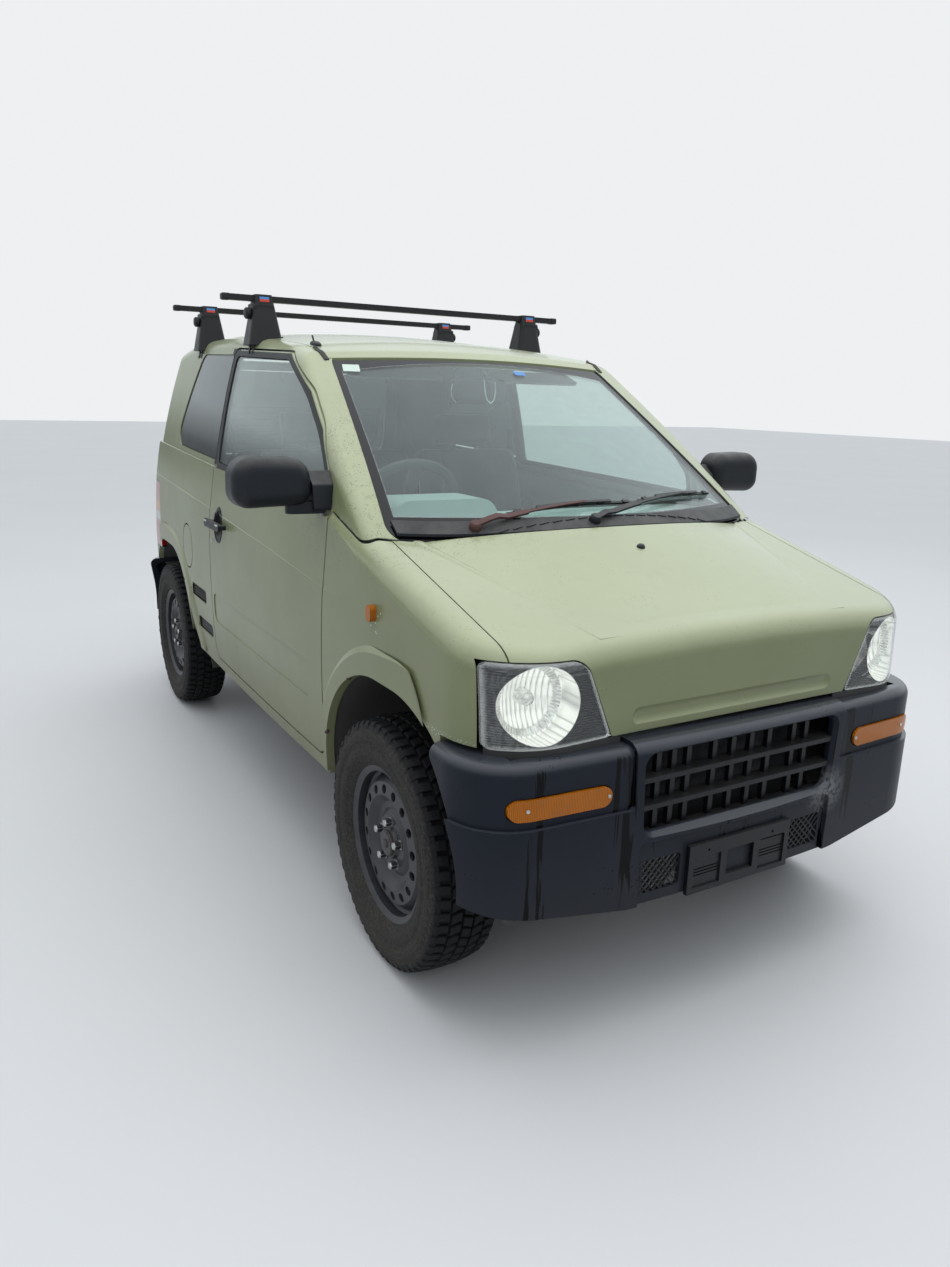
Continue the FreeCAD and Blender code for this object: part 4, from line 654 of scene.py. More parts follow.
FINISH_OF_NODES = {
    PAINT: "body_side_right body_side_left roof_panel fenders hood door_right door_left tailgate fuel_lid",
    BUMPER: "front_bumper rear_bumper",
    BLACK_TRIM: "cowl_panel mirror_right mirror_left",
    GRILLE: "grille",
    SCREEN: "windscreen",
    CLEAR: "door_glass_right door_glass_left",
    PRIVACY: "quarter_glass tailgate_glass",
    HOUSING: "headlamps",
    LENS: "headlamp_lenses",
    AMBER: "amber_lamps",
    TAIL_LENS: "tail_lamps",
    RACK: "roof_rack",
    CHASSIS: "fuel_tank front_axle rear_axle",
    DASH: "dashboard",
    DARK_TRIM: "steering_wheel",
    CLOTH: "seats",
    CAST: "engine_block knuckle_right knuckle_left",
    EXHAUST: "exhaust",
    ALLOY: "radiator",
    UNDERCOAT: "floor_pan",
    WHEEL: "rim_front_right rim_front_left rim_rear_right rim_rear_left",
    TYRE: "tyre_front_right tyre_front_left tyre_rear_right tyre_rear_left",
}


def dress_nodes():
    for finish, names in FINISH_OF_NODES.items():
        for name in names.split():
            slots = NODES[name].data.materials
            slots.clear()
            slots.append(finish.material)


# Building blocks

BOSS_STEPS = 28


def piece(name, bm, finish, body, smooth=45, bevel=0.0):
    """A finished object from a mesh under construction, riding on a body of the frame."""
    mesh = bpy.data.meshes.new(name)
    bmesh.ops.recalc_face_normals(bm, faces=bm.faces)
    bm.to_mesh(mesh)
    bm.free()
    mesh.materials.append(finish.material)
    thing = bpy.data.objects.new(name, mesh)
    bpy.context.scene.collection.objects.link(thing)
    mesh.shade_smooth()
    mesh.set_sharp_from_angle(angle=math.radians(smooth))
    if bevel:
        edge = thing.modifiers.new("edge", "BEVEL")
        edge.width = bevel
        edge.segments = 3
        edge.limit_method = "ANGLE"
        edge.angle_limit = math.radians(35)
        edge.harden_normals = True
    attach(thing, body)
    return thing


def add_ring_faces(bm, rings, closed_along=False, closed_round=True):
    """Faces between rings of vertices that have equal counts."""
    count = len(rings[0])
    turns = len(rings) if closed_along else len(rings) - 1
    for i in range(turns):
        a, b = rings[i], rings[(i + 1) % len(rings)]
        for j in range(count if closed_round else count - 1):
            k = (j + 1) % count
            bm.faces.new((a[j], a[k], b[k], b[j]))


def add_lathe(bm, profile, centre, axis, steps=32):
    """A profile of (distance along the axis, radius) turned about an axis."""
    axis = Vector(axis).normalized()
    aside = axis.orthogonal().normalized()
    third = axis.cross(aside)
    rings = []
    for i in range(steps):
        angle = math.tau * i / steps
        spoke = aside * math.cos(angle) + third * math.sin(angle)
        rings.append([bm.verts.new(Vector(centre) + axis * a + spoke * max(r, 1e-5)) for a, r in profile])
    add_ring_faces(bm, rings, closed_along=True, closed_round=False)


def add_sweep(bm, path, section, side_of=None, closed=False):
    """A section of (aside, out) carried along a path. side_of gives each point's outward direction."""
    count = len(path)
    rings = []
    for i, point in enumerate(path):
        before = path[i - 1] if closed or i else path[0]
        after = path[(i + 1) % count] if closed or i < count - 1 else path[-1]
        along = (Vector(after) - Vector(before)).normalized()
        out = Vector(side_of[i]) if side_of else UP
        out = (out - along * out.dot(along)).normalized()
        aside = along.cross(out)
        rings.append([bm.verts.new(Vector(point) + aside * u + out * v) for u, v in section])
    add_ring_faces(bm, rings, closed_along=closed)
    if not closed:
        bm.faces.new(rings[0])
        bm.faces.new(rings[-1][::-1])


def add_plate(bm, outline, lift):
    """A closed plate: an outline of 3-D points and the same outline moved by a vector."""
    low = [bm.verts.new(Vector(p)) for p in outline]
    high = [bm.verts.new(Vector(p) + Vector(lift)) for p in outline]
    add_ring_faces(bm, [low, high])
    bm.faces.new(low[::-1])
    bm.faces.new(high)


def round_section(radius, steps):
    """A circle's points, as a section for a sweep."""
    angles = [math.tau * i / steps for i in range(steps)]
    return [(radius * math.cos(a), radius * math.sin(a)) for a in angles]


def box_section(half_wide, low, high):
    return [(-half_wide, low), (half_wide, low), (half_wide, high), (-half_wide, high)]


def rounded(corners, steps=5):
    """Points of an outline whose corners (u, v, radius) are rounded."""
    points = []
    for i, (u, v, radius) in enumerate(corners):
        here = Vector((u, v))
        back = (Vector(corners[i - 1][:2]) - here).normalized()
        ahead = (Vector(corners[(i + 1) % len(corners)][:2]) - here).normalized()
        reach = radius / math.tan(back.angle(ahead) / 2)
        start, end = here + back * reach, here + ahead * reach
        for k in range(steps + 1):
            t = k / steps
            points.append(start.lerp(here, t).lerp(here.lerp(end, t), t))
    return points


def length_of(path):
    return sum((b - a).length for a, b in zip(path, path[1:]))


def even(path, pitch, closed=True):
    """A path's points spaced evenly along it."""
    points = [Vector(p) for p in path]
    if closed:
        points.append(points[0])
    lengths = [0.0]
    for a, b in zip(points, points[1:]):
        lengths.append(lengths[-1] + (b - a).length)
    count = max(int(lengths[-1] / pitch), 2)
    result = []
    k = 0
    for i in range(count if closed else count + 1):
        want = lengths[-1] * i / count
        while k < len(points) - 2 and lengths[k + 1] < want:
            k += 1
        span = lengths[k + 1] - lengths[k]
        result.append(points[k].lerp(points[k + 1], (want - lengths[k]) / span if span else 0))
    return result


def tree_of(*names):
    """One search tree of some nodes' surfaces."""
    bm = bmesh.new()
    for name in names:
        bm.from_mesh(NODES[name].data)
    tree = BVHTree.FromBMesh(bm)
    bm.free()
    return tree


def rim_of(name, near, crease):
    """The smooth skin of a node nearest to a point: the ordered loop round it, and a search tree of it."""
    bm = bmesh.new()
    bm.from_mesh(NODES[name].data)
    bmesh.ops.remove_doubles(bm, verts=bm.verts, dist=2e-5)
    bm.normal_update()
    tree = BVHTree.FromBMesh(bm)
    bm.faces.ensure_lookup_table()
    start = bm.faces[tree.find_nearest(Vector(near))[2]]
    limit = math.radians(crease)
    skin, seen = [start], {start}
    for face in skin:
        for edge in face.edges:
            if len(edge.link_faces) != 2 or edge.calc_face_angle(0) > limit:
                continue
            for other in edge.link_faces:
                if other not in seen:
                    seen.add(other)
                    skin.append(other)
    after = {}
    for face in skin:
        for loop in face.loops:
            sharing = loop.edge.link_faces
            if len(sharing) < 2 or any(other not in seen for other in sharing):
                after[loop.vert] = loop.link_loop_next.vert
    rings = []
    while after:
        vert = next(iter(after))
        ring = []
        while vert in after:
            ring.append(vert.co.copy())
            vert = after.pop(vert)
        rings.append(ring)
    skin_mesh = bmesh.new()
    copies = {}
    for face in skin:
        for vert in face.verts:
            if vert not in copies:
                copies[vert] = skin_mesh.verts.new(vert.co)
        skin_mesh.faces.new([copies[vert] for vert in face.verts])
    skin_tree = BVHTree.FromBMesh(skin_mesh)
    skin_mesh.free()
    bm.free()
    return max(rings, key=length_of), skin_tree


def trim_loop(name, node, near, section, finish, body, pitch=0.008, crease=35, part=None):
    """A strip swept round the edge of a node's skin; part keeps the stretch that passes a test."""
    points, skin = rim_of(node, near, crease)
    path = even(points, pitch)
    outward = [skin.find_nearest(p)[1] for p in path]
    bm = bmesh.new()
    if part:
        for run, outs in keep_runs(path, outward, part):
            add_sweep(bm, run, section, outs)
    else:
        add_sweep(bm, path, section, outward, closed=True)
    piece(name, bm, finish, body)


def keep_runs(path, outward, test):
    """The unbroken stretches of a closed path whose points pass a test."""
    count = len(path)
    passed = [test(p) for p in path]
    if all(passed):
        return [(path, outward)]
    start = next(i for i in range(count) if not passed[i])
    runs, run = [], []
    for i in range(start, start + count + 1):
        k = i % count
        if passed[k]:
            run.append(k)
        elif run:
            if len(run) > 2:
                runs.append(([path[k] for k in run], [outward[k] for k in run]))
            run = []
    return runs


def line(start, end, count):
    return [Vector(start).lerp(Vector(end), i / (count - 1)) for i in range(count)]


def drape(tree, points, outside=None):
    """Points moved onto a surface, and its way out at each; outside is where a ray to it comes from."""
    placed, outward = [], []
    for point in points:
        spot, normal = tree.find_nearest(Vector(point))[:2]
        if outside:
            away = Vector(outside)
            hit, facing = tree.ray_cast(Vector(point) + away * 0.15, -away)[:2]
            spot, normal = (hit, facing) if hit else (spot, normal)
        placed.append(spot)
        outward.append(normal)
    return placed, outward


def on_surface(tree, spot, up):
    """The place on a surface nearest to a spot, with its directions across, up and out."""
    place, out = tree.find_nearest(Vector(spot))[:2]
    top = (Vector(up) - out * out.dot(Vector(up))).normalized()
    return place, top.cross(out), top, out


def rectangle(half_wide, half_high, corner):
    return rounded([(u * half_wide, v * half_high, corner) for u, v in ((-1, -1), (1, -1), (1, 1), (-1, 1))])


def add_badge(bm, tree, spot, shape, low, high, up=UP):
    """A flat plate of an outline about a spot, between two heights above the surface."""
    place, side, top, out = on_surface(tree, spot, up)
    add_plate(bm, [place + side * u + top * v + out * low for u, v in shape], out * (high - low))


def add_boss(bm, tree, spot, half, profile, up=UP):
    """A round or oval boss on a surface; its profile is (share of the half sizes, height)."""
    place, side, top, out = on_surface(tree, spot, up)
    rings = []
    for share, height in profile:
        ring = []
        for i in range(BOSS_STEPS):
            angle = math.tau * i / BOSS_STEPS
            spoke = side * (math.cos(angle) * half[0]) + top * (math.sin(angle) * half[1])
            ring.append(bm.verts.new(place + spoke * share + out * height))
        rings.append(ring)
    add_ring_faces(bm, rings)
    bm.faces.new(rings[0][::-1])
    bm.faces.new(rings[-1])


def add_rod(bm, radius, *points):
    """A round bar along straight runs between points."""
    for start, end in zip(points, points[1:]):
        run = Vector(end) - Vector(start)
        add_lathe(bm, [(0, 0), (0, radius), (run.length, radius), (run.length, 0)], start, run, 14)


# Stage, light and camera


FLOOR_HALF = 40
FLOOR_Z = -0.0005
SKY_STRENGTH = 0.95


def set_stage():
    """A plain pale floor under a soft sky; the sky is white where the camera sees it."""
    bm = bmesh.new()
    corners = [(-1, -1), (1, -1), (1, 1), (-1, 1)]
    bm.faces.new([bm.verts.new((x * FLOOR_HALF, y * FLOOR_HALF, FLOOR_Z)) for x, y in corners])
    mesh = bpy.data.meshes.new("floor")
    bm.to_mesh(mesh)
    floor = bpy.data.objects.new("floor", mesh)
    bpy.context.scene.collection.objects.link(floor)
    f = Finish("pale_floor", Roughness=0.55)
    f.feed(Base_Color=f.blend((0.53, 0.54, 0.55), (0.58, 0.585, 0.59), f.noise(0.6, 3)))
    mesh.materials.append(f.material)
    sky = Sky()
    ray = sky.node("TexCoord", output="Generated")
    up = sky.node("SeparateXYZ", links={"Vector": ray}, output="Z") * 0.5 + 0.5
    plain = [(0.0, (0.14, 0.14, 0.15)), (0.5, (0.16, 0.17, 0.18)), (0.6, (0.32, 0.34, 0.365))]
    plain += [(0.75, (0.88, 0.925, 0.97)), (1.0, (1.4, 1.44, 1.49))]
    mirrored = [(0.0, (0.12, 0.12, 0.13)), (0.5, (0.12, 0.13, 0.14)), (0.512, (0.2, 0.22, 0.23))]
    mirrored += [(0.545, (0.85, 0.92, 0.95)), (1.0, (1.15, 1.2, 1.25))]
    shades = [sky.node("ValToRGB", {"stops": stops}, {"Fac": up}) for stops in (plain, mirrored)]
    shades = [sky.node("Background", links={"Color": shade, "Strength": SKY_STRENGTH}) for shade in shades]
    white = sky.node("Background", links={"Color": (0.9, 0.915, 0.93), "Strength": SKY_STRENGTH})
    gloss = sky.node("LightPath", output="Is Glossy Ray")
    lit = sky.node("MixShader", links={0: gloss, 1: shades[0], 2: shades[1]})
    through = sky.node("LightPath", output="Is Transmission Ray")
    shown = sky.node("LightPath", output="Is Camera Ray").either(through)
    mix = sky.node("MixShader", links={0: shown, 1: lit, 2: white})
    sky.tree.links.new(mix.output, sky.tree.nodes["World Output"].inputs["Surface"])


# Lamps: place, target, width, height, power
LAMPS = {
    "overhead": ((0.4, -0.9, 5.6), (0, -0.2, 0.6), 6.0, 5.0, 150),
    "nose_side": ((-3.4, -5.2, 3.6), (0, -0.9, 0.7), 3.0, 2.0, 22),
    "tail_side": ((4.5, 4.6, 3.6), (0, 0.4, 0.8), 3.0, 3.0, 20),
}


def set_lamps():
    for name, (place, target, wide, tall, power) in LAMPS.items():
        lamp = bpy.data.lights.new(name, "AREA")
        lamp.shape = "RECTANGLE"
        lamp.size = wide
        lamp.size_y = tall
        lamp.energy = power
        holder = bpy.data.objects.new(name, lamp)
        holder.location = place
        holder.visible_glossy = False
        holder.rotation_euler = (Vector(target) - Vector(place)).to_track_quat("-Z", "Y").to_euler()
        bpy.context.scene.collection.objects.link(holder)


CAMERA_PLACE = (-1.5864, -3.1128, 1.4354)
CAMERA_YAW = 30.276
CAMERA_PITCH = -14.452
CAMERA_ROLL = 1.581
CAMERA_LENS = 26.08


def set_camera():
    yaw, pitch, roll = [math.radians(a) for a in (CAMERA_YAW, CAMERA_PITCH, CAMERA_ROLL)]
    ahead = Vector((math.sin(yaw) * math.cos(pitch), math.cos(yaw) * math.cos(pitch), math.sin(pitch)))
    level = Vector((math.cos(yaw), -math.sin(yaw), 0))
    upright = level.cross(ahead)
    right = level * math.cos(roll) + upright * math.sin(roll)
    top = upright * math.cos(roll) - level * math.sin(roll)
    data = bpy.data.cameras.new("photo_camera")
    data.sensor_width = 36
    data.lens = CAMERA_LENS
    camera = bpy.data.objects.new("photo_camera", data)
    turn = Matrix((right, top, -ahead)).transposed()
    camera.matrix_world = Matrix.Translation(CAMERA_PLACE) @ turn.to_4x4()
    bpy.context.scene.collection.objects.link(camera)
    bpy.context.scene.camera = camera


# Wheels

TREAD_PITCHES = 58
TREAD_DEPTH = 0.0085
TREAD_HALF = 0.0715
TREAD_DROP = 0.0065
# Tread rows: middle across the tyre, half width, share of the pitch that is block, slant, shift in pitches
TREAD_ROWS = [
    (0.0, 0.0125, 0.8, 0.35, 0.0),
    (-0.031, 0.0135, 0.72, -0.3, 0.45),
    (0.031, 0.0135, 0.72, -0.3, 0.05),
    (-0.0645, 0.0155, 0.66, 0.12, 0.2),
    (0.0645, 0.0155, 0.66, 0.12, 0.7),
]


def crown(x):
    """The tread's radius at a distance from the tyre's middle."""
    return TYRE_R - 0.0001 - TREAD_DROP * (abs(x) / TREAD_HALF) ** 2.2


def add_tread_block(bm, middle, half, angle, span, slant, turn):
    """One tread block with a bevelled top, laid on the crown of the tyre."""
    corners = [(-1, -1), (-0.2, -1.12), (1, -1), (1, 1), (0.2, 0.88), (-1, 1)]
    rings = []
    for shrink, drop in ((1.06, TREAD_DEPTH + 0.001), (1.0, 0.0018), (0.86, 0.0)):
        ring = []
        for u, v in corners:
            x = middle + half * u * shrink
            at = angle + span * (v * shrink + slant * u)
            radius = crown(x) - drop
            ring.append(bm.verts.new(turn(x, at, radius)))
        rings.append(ring)
    add_ring_faces(bm, rings)
    bm.faces.new(rings[-1])


# Shoulder lugs are short and long by turns
LUG_LENGTHS = (0.014, 0.024)
LUG_SUNK = 0.0035
# A tyre wall: (distance from the middle, radius)
TYRE_WALL = [
    (0.0, 0.3165), (0.045, 0.3160), (0.069, 0.3135), (0.0745, 0.3165), (0.0775, 0.3155), (0.0815, 0.309),
    (0.0835, 0.3075), (0.0848, 0.298), (0.0862, 0.2965), (0.0875, 0.283), (0.0890, 0.2815), (0.0893, 0.268),
    (0.0880, 0.2665), (0.0872, 0.25), (0.0880, 0.2485), (0.0868, 0.236), (0.0835, 0.222), (0.0815, 0.2205),
    (0.0795, 0.2125), (0.0735, 0.2035), (0.0665, 0.199), (0.062, 0.1965), (0.05, 0.1962),
]


def build_tyre(wheel, side, y):
    """An all-terrain tyre: ringed walls, lugged shoulders and five rows of blocks."""
    middle = Vector((-side * TYRE_MID_X, y, TYRE_R))

    def turn(x, angle, radius):
        return middle + Vector((x, radius * math.cos(angle), radius * math.sin(angle)))

    bm = bmesh.new()
    wall = [(-x, r) for x, r in TYRE_WALL[::-1]] + TYRE_WALL[1:]
    steps = TREAD_PITCHES * 2
    rings = [[bm.verts.new(turn(x, math.tau * i / steps, r)) for x, r in wall] for i in range(steps)]
    add_ring_faces(bm, rings, closed_along=True)
    pitch = math.tau / TREAD_PITCHES
    for i in range(TREAD_PITCHES):
        for across, half, share, slant, shift in TREAD_ROWS:
            add_tread_block(bm, across, half, (i + shift) * pitch, pitch * share / 2, slant, turn)
        for way in (-1, 1):
            at = (i + (0.2 if way < 0 else 0.7)) * pitch
            add_shoulder_lug(bm, way, at, pitch * 0.3, LUG_LENGTHS[i % 2], turn)
    tyre = piece("tread_tyre_" + wheel, bm, TYRE, "wheel_" + wheel, 40)
    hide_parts("tyre_" + wheel)


def add_shoulder_lug(bm, way, at, span, length, turn):
    """A lug that runs from the tread's edge down the wall."""
    stations = [(0.078, crown(TREAD_HALF) - 0.001), (0.0835, 0.3125), (0.0868, 0.3165 - length)]
    rings = []
    for x, radius in stations:
        corners = [(-1, LUG_SUNK), (-0.8, 0), (0.8, 0), (1, LUG_SUNK)]
        rings.append([bm.verts.new(turn(way * (x - low), at + span * s, radius - low)) for s, low in corners])
    add_ring_faces(bm, rings)
    bm.faces.new(rings[0])
    bm.faces.new(rings[-1][::-1])


NUT_CIRCLE_R = 0.05715
# Each nut stands on the wheel's face as it is found a little outside the nut circle
NUT_FACE_R = 0.07265
WHEEL_FACE_X = 0.66
NUT_SEAT = [(0, 0.012), (0.009, 0.0132)]
NUT = [(0.009, 0.0132), (0.010, 0.0108), (0.0245, 0.0108), (0.0275, 0.009), (0.029, 0)]
HUB_END = [(-0.02, 0.0335), (0.008, 0.0335), (0.0105, 0.031), (0.0105, 0.02)]
HUB_END += [(0.007, 0.0185), (0.007, 0.012), (0.016, 0.0105), (0.018, 0)]


def wheel_face(rim, side, y, z):
    """How far out a wheel's face lies, looked at from its side of the car."""
    hit = rim.ray_cast(Vector((side * 2, y, z)), Vector((-side, 0, 0)))[0]
    return hit.x * side if hit else WHEEL_FACE_X


def build_wheel_fittings(wheel, side, y):
    """Bright nuts on their cone seats, and the rusty hub end."""
    rim = tree_of("rim_" + wheel)
    nuts = bmesh.new()
    for i in range(5):
        angle = math.radians(90 + 72 * i)
        across, up = math.cos(angle), math.sin(angle)
        seat = wheel_face(rim, side, y + NUT_FACE_R * across, TYRE_R + NUT_FACE_R * up) - 0.006
        centre = (side * seat, y + NUT_CIRCLE_R * across, TYRE_R + NUT_CIRCLE_R * up)
        add_lathe(nuts, NUT_SEAT, centre, (side, 0, 0), 24)
        add_lathe(nuts, NUT, centre, (side, 0, 0), 6)
    piece("wheel_nuts_" + wheel, nuts, BRIGHT, "wheel_" + wheel, 30)
    hub = bmesh.new()
    face = wheel_face(rim, side, y + 0.036, TYRE_R) - 0.004
    add_lathe(hub, HUB_END, (side * face, y, TYRE_R), (side, 0, 0), 40)
    piece("hub_end_" + wheel, hub, RIM_RUST, "wheel_" + wheel, 35)


def build_wheels():
    for row, y in (("front", FRONT_AXLE_Y), ("rear", REAR_AXLE_Y)):
        for label, side in SIDES.items():
            build_tyre(row + "_" + label, side, y)
            build_wheel_fittings(row + "_" + label, side, y)


# Rubber, mouldings and gaps

# Sections of (aside, out) from the edge that a strip follows
GLASS_SECTION = [(-0.003, -0.006), (0.016, -0.006), (0.017, 0.001)]
GLASS_SECTION += [(0.012, 0.0035), (0.001, 0.0035), (-0.003, 0.001)]
SCREEN_SECTION = [(-0.022, 0.001), (0.012, 0.001), (0.0155, 0.004)]
SCREEN_SECTION += [(0.013, 0.0085), (0.003, 0.0105), (-0.018, 0.0045)]
# The gap strip is a seal and also painted shade that fills the gap's depth
GAP_SECTION = [(0.001, -0.026), (0.0052, -0.026), (0.0052, -0.010), (0.001, -0.010)]
GAP_PITCH = 0.012


def build_glass_seals():
    """Rubber round the door windows, the quarter windows and the tailgate's glass."""
    for label, side in SIDES.items():
        door = ("door_glass", "door_glass_" + label, (0.66 * side, -0.15, 1.32), "door_" + label)
        quarter = ("quarter_glass", "quarter_glass", (0.66 * side, 0.72, 1.35), "body")
        for name, node, near, body in (door, quarter):
            trim_loop("seal_" + name + "_" + label, node, near, GLASS_SECTION, RUBBER, body)
    trim_loop("seal_tailgate_glass", "tailgate_glass", (0, 1.6, 1.33), GLASS_SECTION, RUBBER, "tailgate")


def build_screen_moulding():
    """The wide black moulding up both sides of the windscreen and over its top."""

    def above_cowl(point):
        return point.z > 1.1

    near = (0, -0.75, 1.36)
    trim_loop("windscreen_moulding", "windscreen", near, SCREEN_SECTION, RUBBER, "body", part=above_cowl)


def build_gap_seals_and_shade():
    """Dark rubber deep in the gaps round the doors and the tailgate, which also stands in as painted shade
    inside the gaps.
    """
    # Painted shade: the dark strips keep the gaps reading as shadow
    for label, side in SIDES.items():
        near = (0.72 * side, -0.2, 0.8)
        trim_loop("door_gap_" + label, "door_" + label, near, GAP_SECTION, RUBBER, "body", GAP_PITCH)
    trim_loop("tailgate_gap", "tailgate", (0, 1.63, 0.85), GAP_SECTION, RUBBER, "body", GAP_PITCH)


# Outside fittings

# Wipers: arm from its pivot to its tip, both ends of the blade, finish of the arm
WIPERS = [
    ((-0.405, -1.078, 1.114), (-0.06, -1.068, 1.15), (-0.3, -1.052, 1.128), (0.12, -1.062, 1.15), RUSTY_ARM),
    ((-0.07, -1.135, 1.118), (0.35, -1.0, 1.157), (0.14, -1.052, 1.15), (0.515, -0.947, 1.158), BLACK_TRIM),
]
WIPER_PIVOT_R = 0.014


def build_wiper(name, tree, outside, arm, blade, finish, body):
    """A wiper: its arm rises from a capped pivot over the blade, which bears on the glass."""
    path, out = drape(tree, line(*arm, 12), outside)
    lifts = [0.010, 0.017, 0.020] + [0.021] * 9
    path = [p + n * lift for p, n, lift in zip(path, out, lifts)]
    bm = bmesh.new()
    add_sweep(bm, path[:6], box_section(0.0085, -0.004, 0.003), out[:6])
    add_sweep(bm, path[5:], box_section(0.0045, -0.0025, 0.002), out[5:])
    profile = [(1.2, -0.004), (1.2, 0.006), (1, 0.014), (0.75, 0.018)]
    add_boss(bm, tree, path[0] - out[0] * lifts[0], (WIPER_PIVOT_R, WIPER_PIVOT_R), profile)
    piece(name + "_arm", bm, finish, body, bevel=0.0008)
    path, out = drape(tree, line(*blade, 20), outside)
    bm = bmesh.new()
    add_sweep(bm, path, [(-0.0035, 0.0075), (-0.0006, 0.0006), (0.0006, 0.0006), (0.0035, 0.0075)], out)
    add_sweep(bm, path, box_section(0.0042, 0.0085, 0.0105), out)
    add_sweep(bm, path[4:16], box_section(0.005, 0.0135, 0.017), out[4:16])
    for k in (1, 5, 9, 13, 17):
        add_sweep(bm, path[k : k + 2], box_section(0.0058, 0.006, 0.0145), out[k : k + 2])
    piece(name + "_blade", bm, BLACK_TRIM, body, bevel=0.0005)


def build_wipers():
    screen = tree_of("windscreen", "cowl_panel")
    for label, (pivot, tip, start, end, finish) in zip(("right", "left"), WIPERS):
        build_wiper("wiper_" + label, screen, (0, -0.5, 0.866), (pivot, tip), (start, end), finish, "body")
    gate = tree_of("tailgate", "tailgate_glass")
    arm, blade = ((0.05, 1.62, 1.098), (-0.2, 1.6, 1.165)), ((-0.36, 1.6, 1.19), (-0.05, 1.6, 1.135))
    build_wiper("rear_wiper", gate, (0, 1, 0), arm, blade, BLACK_TRIM, "tailgate")


def build_screen_stickers():
    """Two blank stickers behind the windscreen's top edge."""
    screen = tree_of("windscreen")
    for name, spot, half, finish in (
        ("sticker_right", (-0.461, -0.389, 1.511), (0.026, 0.02), STICKER),
        ("sticker_middle", (0.118, -0.44, 1.515), (0.022, 0.013), BLUE),
    ):
        bm = bmesh.new()
        add_badge(bm, screen, spot, rectangle(*half, 0.003), 0.0002, 0.0006)
        piece(name, bm, finish, "body")


RACK_BARS = [(0.205, 1.746), (0.925, 1.754)]
RACK_FOOT_X = 0.548
RACK_END_X = 0.684
CLAMP_KNOB = [(0.028, 0.011), (0.04, 0.0125), (0.046, 0.019), (0.058, 0.02), (0.063, 0.015), (0.064, 0)]
# A strap lies where rays towards a line in the cabin (x, z) meet the roof: first angle, step and count
STRAP_AIM = (0.35, 1.35)
STRAP_ANGLES = (64, 2.1, 12)
STRAP_SECTION = (0.007, 0.0002, 0.0032)


def add_end_cap(bm, side, y, z):
    """The rounded cap on a rack bar's end."""
    rings = []
    for reach, share in ((-0.018, 1), (0.002, 1), (0.006, 0.9), (0.008, 0.6)):
        x = side * (RACK_END_X + reach)
        shape = rectangle(0.0165, 0.0115, 0.005)
        rings.append([bm.verts.new((x, y + u * share, z + v * share)) for u, v in shape])
    add_ring_faces(bm, rings)
    bm.faces.new(rings[0])
    bm.faces.new(rings[-1])


def add_clamp(bm, side, foot):
    """The knob, the outer plate and the block of a rack's foot."""
    add_lathe(bm, CLAMP_KNOB, foot, (side, 0, 0), 18)
    plate = [foot + Vector((side * 0.03, u, v)) for u, v in rectangle(0.03, 0.032, 0.012)]
    add_plate(bm, plate, (side * 0.012, 0, 0))
    block = [foot + Vector((side * u, -0.034, v)) for u, v in rectangle(0.034, 0.03, 0.012)]
    add_plate(bm, block, (0, 0.068, 0))


def add_strap(bm, roof, side, y):
    """A strap from the rack's foot over the roof's edge."""
    spots, out = [], []
    first, step, count = STRAP_ANGLES
    for k in range(count):
        angle = math.radians(first - step * k)
        spoke = Vector((side * math.cos(angle), 0, math.sin(angle)))
        aim = Vector((side * STRAP_AIM[0], y, STRAP_AIM[1]))
        hit, normal = roof.ray_cast(aim + spoke * 0.6, -spoke)[:2]
        if hit:
            spots.append(hit)
            out.append(normal)
    add_sweep(bm, spots, box_section(*STRAP_SECTION), out)


def build_rack_fittings():
    """Bar end caps, foot clamps with their knobs, straps over the roof's edge and coloured patches."""
    roof = tree_of("body_side_right", "body_side_left", "roof_panel", "door_right", "door_left")
    rack = tree_of("roof_rack")
    black, blue, red = bmesh.new(), bmesh.new(), bmesh.new()
    for y, z in RACK_BARS:
        for side in (-1, 1):
            add_end_cap(black, side, y, z)
            foot = Vector((side * RACK_FOOT_X, y, z - 0.05))
            add_clamp(black, side, foot)
            for shift in (-0.019, 0.019):
                add_strap(black, roof, side, y + shift)
            for tint, low, high in ((blue, 0.001, 0.009), (red, -0.008, 0.001)):
                shape = [(-0.017, low), (0.017, low), (0.017, high), (-0.017, high)]
                add_badge(tint, rack, (foot.x, y - 0.05, z), shape, 0.0002, 0.0007)
    piece("rack_fittings", black, RACK, "body", bevel=0.0012)
    piece("rack_patches_blue", blue, BLUE, "body")
    piece("rack_patches_red", red, REDDISH, "body")


DOME = [(1, -0.002), (1, 0.002), (0.92, 0.006), (0.7, 0.0095), (0.35, 0.011)]
BUTTON = [(1, -0.001), (1, 0.0012), (0.85, 0.002)]
JET = [(1.2, -0.002), (1.1, 0.002), (0.8, 0.007), (0.3, 0.0085)]
KEYHOLE = [(1, 0.0015), (1, 0.0035), (0.8, 0.004)]
CUP_SECTION = [(-0.003, -0.001), (0.003, -0.001), (0.002, 0.0025), (-0.002, 0.0025)]
SEAM_SECTION = [(-0.009, -0.001), (0.009, -0.001), (0.007, 0.0035), (-0.007, 0.0035)]
LOCK_SPOT = (0.75, 0.372, 0.885)
SIGNAL_SCREWS = (0.408, 0.628)
SLATS = 4


